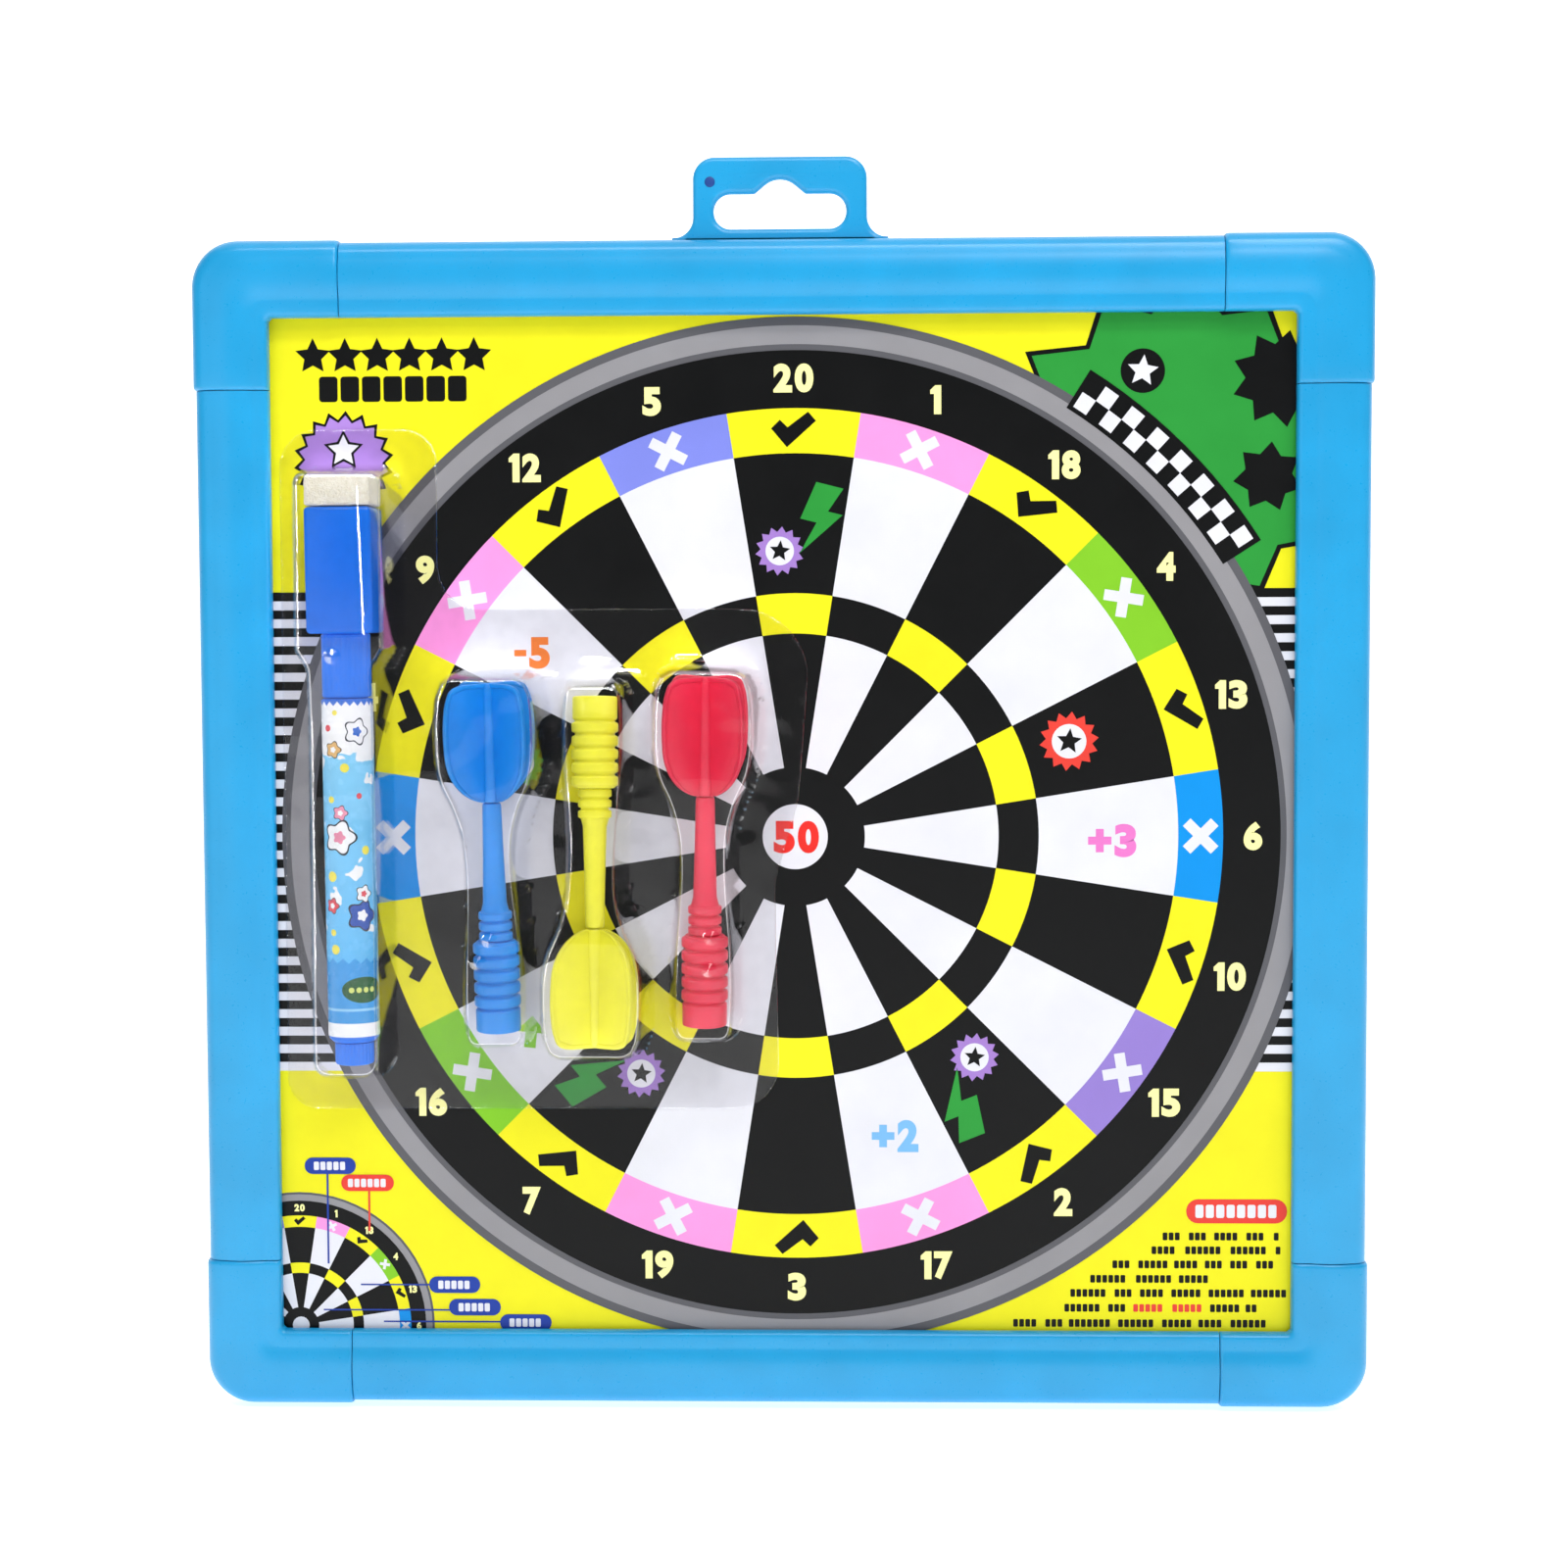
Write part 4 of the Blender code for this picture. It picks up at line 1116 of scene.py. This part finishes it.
# Dots and flowers on the wrap, as place round it, height, size and colours
DOTS = (
    (-0.5, 80.0, 1.2, "yellow"), (-4.4, 71.5, 0.9, "yellow"), (-4.5, 51.0, 1.4, "yellow"),
    (-4.4, 36.0, 0.9, "yellow"), (-3.8, 31.5, 1.3, "yellow"), (-5.2, 90.5, 0.9, "red"),
    (3.4, 72.5, 0.8, "red"), (5.2, 58.0, 1.2, "yellow"), (-3.0, 94.6, 0.7, "yellow"),
)
FLOWERS = (
    (-2.2, 61.5, 4.3, "white", "pink"), (-1.8, 68.0, 1.9, "pink", "white"),
    (3.9, 40.6, 3.9, "navy", "white"), (4.4, 46.4, 2.2, "white", "red"), (-4.6, 43.2, 2.0, "red", "white"),
    (3.0, 89.6, 3.3, "white", "blue"), (-3.6, 84.8, 2.1, "tan", "white"),
)
# The green oval near the wrap's foot: its middle, half width and half height
OVAL = (4.2, 20.7, 6.2, 3.5)


def label_material():
    """Printed wrap: white crest, cloudy sky, flowers and dots, a deeper band and lines at its foot."""
    made, tree, shader = blank("label_print")
    where = add(tree, "TexCoord", {}).outputs["Object"]
    foot = tuple(marker_place().translation)
    shifted = add(tree, "VectorMath", {0: where, 1: foot}, operation="SUBTRACT").outputs["Vector"]
    local = add(tree, "VectorMath", {0: shifted, "Scale": 1 / MM}, operation="SCALE").outputs["Vector"]
    split = add(tree, "SeparateXYZ", {"Vector": local}).outputs

    def do(operation, *values):
        return calc(tree, operation, *values)

    height = split["Z"]
    arc = do("MULTIPLY", do("ARCTAN2", split["X"], do("MULTIPLY", split["Y"], -1)), LABEL_RADIUS)
    sheet = add(tree, "CombineXYZ", {"X": arc, "Y": height}).outputs["Vector"]

    def saw(period, depth):
        """Zigzag along the wrap."""
        return do("MULTIPLY", do("PINGPONG", arc, period / 2), 2 * depth / period)

    def above(level, edge=0.12):
        """1 over a level of the wrap, 0 under it."""
        return ramp(tree, do("SUBTRACT", height, level), -edge, edge)

    def between(low, high):
        """1 between two levels of the wrap, 0 elsewhere."""
        return do("MINIMUM", above(low), do("SUBTRACT", 1.0, above(high)))

    def away(cx, cz, wide=1.0, tall=1.0):
        """Distance from a spot on the wrap, in units of a width and a height, with its two offsets."""
        dx = do("DIVIDE", do("SUBTRACT", arc, cx), wide)
        dz = do("DIVIDE", do("SUBTRACT", height, cz), tall)
        squares = do("ADD", do("POWER", dx, 2.0), do("POWER", dz, 2.0))
        return do("SQRT", squares), dx, dz

    art = srgb(*WRAP_COLOURS["sky"])

    def paint(factor, name):
        """Lay a colour over the art so far."""
        nonlocal art
        art = mixed(tree, factor, art, srgb(*WRAP_COLOURS[name]))

    clouds = noise_value(tree, sheet, 0.15, roughness=0.4)
    paint(ramp(tree, height, 26, 84), "haze")
    paint(ramp(tree, clouds, 0.62, 0.63), "white")
    paint(above(do("ADD", 78.5, do("MULTIPLY", clouds, 9.0))), "white")
    for cx, cz, size, name in DOTS:
        paint(do("LESS_THAN", away(cx, cz)[0], size), name)
    for cx, cz, size, petal, middle in FLOWERS:
        reach, dx, dz = away(cx, cz)
        petals = do("MULTIPLY", do("COSINE", do("MULTIPLY", do("ARCTAN2", dz, dx), 5.0)), 0.16)
        field = do("DIVIDE", reach, do("ADD", 1.0, petals))
        for share, name in ((1.0, "edge"), (0.88, petal), (0.36, middle)):
            paint(do("LESS_THAN", field, size * share), name)
    paint(do("SUBTRACT", 1.0, above(do("ADD", 27.8, saw(3.2, 1.4)))), "deep")
    paint(between(15.0, 15.7), "line")
    paint(between(8.0, 11.7), "white")
    paint(do("LESS_THAN", away(*OVAL)[0], 1.0), "oval")
    for cx in (0.6, 2.6, 4.6, 6.6):
        paint(do("LESS_THAN", away(cx, OVAL[1])[0], 0.75), "lime")
    paint(above(do("SUBTRACT", 97.6, saw(2.2, 1.2))), "zigzag")
    wrap = noise_value(tree, local, 0.3)
    set_inputs(tree, shader, {
        "Base Color": art,
        "Roughness": ramp(tree, wrap, *NOISE_SPAN, 0.2, 0.3),
        "Normal": bumped(tree, wrap, 0.05),
    })
    return made


def plug_shape():
    """Ribbed end plug with a rounded foot."""
    return ribbed(((4.2, 0, 0), (4.9, 0.25, 0), (5.2, 0.8, 1), (5.2, 5.6, 1), (5.2, 6.0, 0), (4.8, 6.0, 0),
                   (4.8, 12.0, 0)), 28, 0.22, 2, closed=False)


def cap_shape():
    """Cap tube whose skirt has fine ribs."""
    return ribbed(((5.9, 98.6, 0), (6.2, 98.6, 0), (6.5, 99.0, 0), (6.5, 100.4, 0), (6.5, 100.8, 1),
                   (6.5, 114.6, 1), (6.5, 115.2, 0), (6.2, 115.4, 0), (6.2, 137, 0), (4.9, 135.5, 0),
                   (5.9, 110.6, 0)), 24, 0.2, 3, closed=True)


def felt_shape():
    """Felt pad: rounded block whose skin is pushed in and out by its fibres."""
    shape = rounded_block(8.65, 9.2, 149.3, 157.3, 0.9, cuts=22)
    shape.normal_update()
    for vert in shape.verts:
        lump = noise.fractal(vert.co * 0.7, 1.0, 2.0, 4)
        fuzz = noise.noise(vert.co * 2.3)
        vert.co += vert.normal * (0.16 * lump + 0.1 * fuzz)
    return shape


def build_marker(shell, film, holder, felt, nib_holder, reservoir, tip):
    """Pen and cap."""
    place = marker_place()

    def part(name, shape, finish, node, body="marker", angle=35):
        finished(name, shape, finish, body, place, angle, node)

    def tube(name, profile, radius, steps, finish, node):
        part(name, turned(softened(profile, radius), steps), finish, node)

    tube("pen_barrel", [(5.1, 108), (5.6, 108), (5.6, 98.3), (6.6, 98.3), (6.6, 7.3), (5.6, 6.3),
                        (5.1, 6.3)],
         0.4, 64, shell, "marker_barrel")
    wrap = turned([(6.7, LABEL_TOP), (6.85, LABEL_TOP), (6.85, LABEL_LOW), (6.7, LABEL_LOW)], 96)
    part("pen_label", wrap, film, "marker_label")
    part("pen_end_plug", plug_shape(), shell, "marker_end_plug")
    tube("pen_ink_pad", [(0, 88), (4.3, 88), (4.3, 14), (0, 14)], 0.5, 40,
         reservoir, "ink_reservoir")
    tube("pen_nose", [(2.4, NIB_SEAT + 4), (3.2, NIB_SEAT + 4), (5.2, NIB_SEAT + 1), (5.2, NIB_SEAT),
                      (4.8, NIB_SEAT), (4.8, NIB_SEAT - 9), (2.4, NIB_SEAT - 9)],
         0.3, 48, nib_holder, "nib_holder")
    tube("pen_nib", [(0, NIB_SEAT + 8), (0.8, NIB_SEAT + 7.6), (2.1, NIB_SEAT + 5), (2.1, NIB_SEAT - 18),
                     (0, NIB_SEAT - 18)],
         0.4, 40, tip, "nib")
    part("cap_tube", cap_shape(), shell, "marker_cap", "cap")
    block = rounded_block(8.85, 9.4, 115.6, 149, 1.2)
    part("cap_eraser_holder", block, holder, "eraser_holder", "cap")
    part("cap_felt_pad", felt_shape(), felt, "eraser_felt", "cap", 60)


# ---------------------------------------------------------------- clear tray

# Slim ribs pressed into the tray, as start, end, width and rise: their steeper side lies on the right of
# the way from start to end. Over each dart's tail and between them, and down the eraser's pocket.
RIBS = (
    ((-86.5, 47.9), (-74.5, 47.5), 1.5, 0.95), ((-71.8, 43.7), (-63.2, 43.6), 1.3, 0.8),
    ((-57.5, 47.6), (-49.0, 47.2), 1.5, 0.95), ((-48.6, 44.6), (-40.6, 44.2), 1.3, 0.8),
    ((-33.0, 48.1), (-23.0, 47.9), 1.5, 0.95), ((-112.0, 54.2), (-113.4, 94.7), 0.9, 0.33),
)
# Small peaks in the roofs over two grips and the cap, where the sheet was pulled off its mould
PEAKS = ((-81.1, -26.4), (-84.4, -32.3), (-22.1, -25.7), (-22.8, -34.3), (-121.1, 49.1))
PEAK_RADIUS = 2.3
PEAK_RISE = 1.4
TRAY_BACK = -0.4
SHEET = 0.3
CELL = 0.65
FINE_CELL = 0.22


def tray_outline():
    """Edge of the tray's flat flange: a tall part for the marker and a lower one for the darts."""
    return rounded([
        (-138.5, -74, 8), (-4.5, -74, 12), (-5.5, -12, 20), (1, 10, 30), (5, 61.5, 18), (-96, 61.5, 12),
        (-96, 110, 9), (-138.5, 110, 10),
    ], 8)


def dart_pockets():
    """Pocket over each dart: deep over its flight, shallow over its grip."""
    made = []
    for colour in ("blue", "yellow", "red"):
        place = ON_DIAL.inverted() @ dart_place(colour)

        def carried(across, along):
            spot = place @ Vector((across, 0, along))
            return (spot.x, spot.z)

        side = smooth_path([(5.4, -5.0), (8.4, -3.0), (9.6, 3.0), (9.6, 18.0), (8.8, 30.0), (8.2, 42.0),
                            (8.6, 52.0), (10.6, 60.0), (13.6, 67.0), (15.0, 75.0), (15.0, 86.0)], 4)
        tail = [(14.4, 91.5), (12.6, 95.6), (9.0, 97.4)]
        outline = [carried(x, z) for x, z in mirrored(side + tail)]
        made.append((outline, 3.0, (carried(0, 24), 15.6), (carried(0, 66), 24.4)))
    return made


def marker_pocket():
    """Pocket over the marker, wider and deeper over its eraser."""
    outline = rounded([(-130.2, -64.8, 6), (-130.2, 45.5, 4), (-133.2, 50.5, 4), (-133.2, 99.8, 5),
                       (-105.8, 99.8, 5), (-105.8, 50.5, 4), (-108.8, 45.5, 4), (-108.8, -64.8, 6)], 5)
    return outline, 3.4, ((-119.5, 28), 18.2), ((-119.5, 56), 20.9)


def eased(share):
    """Smooth step from 0 to 1."""
    share = np.clip(share, 0, 1)
    return share * share * (3 - 2 * share)


def formed_rib(points, start, end, width, rise):
    """Height of a slim raised rib between two points: one flat slope, and one half as wide."""
    along = np.array(end) - np.array(start)
    length = np.hypot(*along)
    along = along / length
    offset = points - np.array(start)
    travel = offset @ along
    across = offset @ np.array((-along[1], along[0]))
    slope = np.where(across > 0, 1 - across / width, 1 + across / (0.5 * width))
    ends = np.clip(travel / 0.8, 0, 1) * np.clip((length - travel) / 0.8, 0, 1)
    return rise * np.clip(slope, 0, 1) * ends


def nearest_on(outline, points):
    """Distance of points inside an outline (negative outside), and the nearest place on it."""
    start = np.array(outline)
    end = np.roll(start, -1, axis=0)
    best = np.full(len(points), 1e9)
    place = points.copy()
    inside = np.zeros(len(points), bool)
    for a, b in zip(start, end):
        along = b - a
        share = np.clip(((points - a) @ along) / (along @ along), 0, 1)
        foot = a + share[:, None] * along
        gap = np.hypot(*(points - foot).T)
        closer = gap < best
        best[closer] = gap[closer]
        place[closer] = foot[closer]
        if a[1] != b[1]:
            spans = (a[1] > points[:, 1]) != (b[1] > points[:, 1])
            crossing = a[0] + (points[:, 1] - a[1]) / (b[1] - a[1]) * along[0]
            inside ^= spans & (points[:, 0] < crossing)
    return np.where(inside, best, -best), place


def tray_heights(points):
    """How far the sheet stands off the flange: steep walls that roll over into each pocket's roof."""
    height = np.zeros(len(points))
    for outline, wall, (low_spot, low_rise), (high_spot, high_rise) in dart_pockets() + [marker_pocket()]:
        depth, _ = nearest_on(outline, points)
        axis = np.array(high_spot) - np.array(low_spot)
        share = eased((points - np.array(low_spot)) @ axis / (axis @ axis))
        rise = low_rise + (high_rise - low_rise) * share
        roll = np.clip(depth / wall, 0, 1)
        height = np.maximum(height, rise * (1 - (1 - roll) ** 2.6) ** (1 / 1.7))
    return height


def spaced(low, high, fine):
    """Grid lines from low to high, drawn close together inside the fine ranges."""
    lines = [low]
    while lines[-1] < high:
        is_fine = any(start - CELL < lines[-1] < end for start, end in fine)
        lines.append(lines[-1] + (FINE_CELL if is_fine else CELL))
    return np.array(lines)


def smoothed(heights, passes):
    """Heights averaged with their neighbours, wherever the sheet stands off the flange."""
    for _ in range(passes):
        padded = np.pad(heights, 1, mode="edge")
        around = padded[:-2, 1:-1] + padded[2:, 1:-1] + padded[1:-1, :-2] + padded[1:-1, 2:]
        heights = np.where(heights > 0.05, heights * 0.5 + around * 0.125, heights)
    return heights


def tray_shape():
    """One formed sheet on a fine grid, its rim pulled onto the tray's outline."""
    outline = tray_outline()
    low = np.array(outline).min(0) - CELL
    high = np.array(outline).max(0) + CELL
    across = spaced(low[0], high[0], ((-123.4, -118.8), (-115.0, -110.6), (-86.8, -78.8), (-25.2, -19.8)))
    up = spaced(low[1], high[1], ((-36.8, -23.4), (42.4, 51.4)))
    columns, rows = len(across), len(up)
    grid = np.stack(np.meshgrid(across, up), -1).reshape(-1, 2)
    depth, rim = nearest_on(outline, grid)
    spots = np.where((depth < 0)[:, None], rim, grid)
    heights = smoothed(tray_heights(spots).reshape(rows, columns), 2).reshape(-1)
    for start, end, width, rise in RIBS:
        heights += formed_rib(spots, start, end, width, rise)
    for peak in PEAKS:
        away = np.hypot(*(spots - np.array(peak)).T)
        heights += PEAK_RISE * np.clip(1 - away / PEAK_RADIUS, 0, 1)
    usable = depth > -CELL * 0.75
    shape = bmesh.new()
    verts = {}

    def vert(index):
        if index not in verts:
            x, z = spots[index]
            wave = 0.12 * noise.noise(Vector((x * 0.09, 0, z * 0.09)))
            verts[index] = shape.verts.new((x, TRAY_BACK - SHEET - heights[index] + wave, z))
        return verts[index]

    for row in range(rows - 1):
        for column in range(columns - 1):
            first = row * columns + column
            ring = (first, first + 1, first + columns + 1, first + columns)
            if all(usable[index] for index in ring):
                shape.faces.new([vert(index) for index in ring])
    return shape


def build_tray(finish):
    """Clear tray, given its thickness by a Solidify modifier."""
    made = finished("formed_tray", tray_shape(), finish, "tray",
                    angle=80, node="blister_tray")
    sheet = made.modifiers.new("thickness", "SOLIDIFY")
    sheet.thickness = SHEET * MM
    sheet.offset = -1
    return made


# ---------------------------------------------------------------- studio

def build_sweep():
    """Pale glowing floor that curves up into a backdrop, just under the object."""
    floor_z = CAD_BOX[0][2] - 1 * MM
    section = [(-3.0, floor_z), (1.2, floor_z)]
    for step in range(1, 13):
        angle = pi / 2 * step / 12
        section.append((1.2 + 0.8 * sin(angle), floor_z + 0.8 * (1 - cos(angle))))
    section.append((2.0, floor_z + 4.0))
    shape = bmesh.new()
    left, right = [[shape.verts.new((x, y, z)) for y, z in section] for x in (-5, 5)]
    for index in range(len(section) - 1):
        shape.faces.new((left[index], right[index], right[index + 1], left[index + 1]))
    mesh = bpy.data.meshes.new("sweep")
    shape.to_mesh(mesh)
    shape.free()
    mesh.shade_smooth()
    made, tree, shader = blank("studio_white")
    tone = noise_value(tree, place_vector(tree), 0.002)
    set_inputs(tree, shader, {"Base Color": mixed(tree, tone, srgb(250, 250, 250), srgb(254, 254, 254)),
                              "Roughness": 0.9, "Specular IOR Level": 0.1,
                              "Emission Color": (1, 1, 1, 1), "Emission Strength": FLOOR_GLOW})
    mesh.materials.append(made)
    placed("sweep", mesh)


def build_world():
    """Dim even light that the camera sees as plain white."""
    world = bpy.data.worlds.new("studio")
    world.use_nodes = True
    tree = world.node_tree
    seen = add(tree, "LightPath", {}).outputs["Is Camera Ray"]
    strength = ramp(tree, seen, 0, 1, WORLD_LIGHT, WORLD_SEEN)
    set_inputs(tree, tree.nodes["Background"], {"Color": (1, 1, 1, 1), "Strength": strength})
    bpy.context.scene.world = world


# Lamps, as name, place from the film's middle, size, power and whether they only glint on the tray
LAMPS = (
    ("key", (0.4, -1.2, 1.2), (0.6, 0.4), 7.2, False),
    ("fill", (-1.0, -1.5, 0.2), (1.0, 1.0), 2.0, False),
    ("edge", (0.1, -0.5, 0.9), (1.0, 0.05), 5.0, False),
    ("sky", (0.0, 0.3, 1.6), (2.4, 1.6), 11.0, False),
    ("strip", (0.1, -0.5, 0.9), (1.0, 0.14), 100.0, True),
    ("side", (-0.9, -0.7, 0.1), (0.12, 0.8), 32.0, True),
)


def build_lamps(clear_tray):
    """Soft lights round the object, and two strips that only glint on the tray."""
    glints = bpy.data.collections.new("glints")
    glints.objects.link(clear_tray)
    for name, spot, size, power, is_glint in LAMPS:
        lamp = bpy.data.lights.new(name, "AREA")
        lamp.shape = "RECTANGLE"
        lamp.size, lamp.size_y = size
        lamp.energy = power
        holder = placed(name, lamp)
        holder.location = FILM_MIDDLE + Vector(spot)
        holder.rotation_euler = (-Vector(spot)).to_track_quat("-Z", "Y").to_euler()
        if is_glint:
            holder.light_linking.receiver_collection = glints


def build_camera():
    """Camera a little above and right of the frame's centre, looking slightly down and left."""
    lens = bpy.data.cameras.new("camera")
    lens.angle = radians(FIELD_OF_VIEW)
    lens.clip_start = 0.01
    holder = placed("camera", lens)
    stand = Matrix.Translation(ON_FRAME.translation + Vector(CAMERA_PLACE) * MM)
    aim = (Matrix.Rotation(radians(CAMERA_LEFT), 4, "Z")
           @ Matrix.Rotation(radians(90 - CAMERA_DOWN), 4, "X"))
    holder.matrix_world = stand @ aim @ Matrix.Rotation(radians(-CAMERA_ROLL), 4, "Z")
    bpy.context.scene.camera = holder


def give(node, finish):
    """A CAD node keeps its shape and takes a new finish."""
    slots = frame["nodes"][node].data.materials
    slots.clear()
    slots.append(finish)


blue_frame = moulded("frame_blue", srgb(22, 154, 211), 0.3, grain=0.012)
# The gate mark's darker blue is painted shade for the shaded dimple that the moulding gate left.
gate_dimple_shade = moulded("gate_dimple_shade", srgb(0, 60, 136), 0.5)
build_frame(blue_frame)
build_hanger(blue_frame, gate_dimple_shade)
yellow_print = build_print()
give("print_film", yellow_print)
give("steel_sheet", tinplate())
give("core_board", fibreboard())
give("whiteboard_back", whiteboard_laminate())

magnet = ferrite()
build_dart("blue", moulded("dart_blue", srgb(0, 138, 229), 0.34, glow=0.12), magnet)
build_dart("yellow", moulded("dart_yellow", srgb(245, 242, 58), 0.34, glow=0.12), magnet)
build_dart("red", moulded("dart_red", srgb(233, 40, 76), 0.34, glow=0.12), magnet)

build_marker(
    moulded("pen_blue", srgb(2, 118, 238), 0.3),
    label_material(),
    moulded("holder_blue", srgb(6, 112, 230), 0.22),
    felt_material(),
    moulded("nose_white", srgb(236, 236, 236), 0.4),
    fibre("ink_fibre", srgb(70, 74, 96)),
    fibre("nib_fibre", srgb(30, 30, 34)),
)
build_lamps(build_tray(clear_plastic("clear_sheet")))
build_sweep()
build_world()
build_camera()
bpy.context.scene.view_settings.view_transform = "Standard"
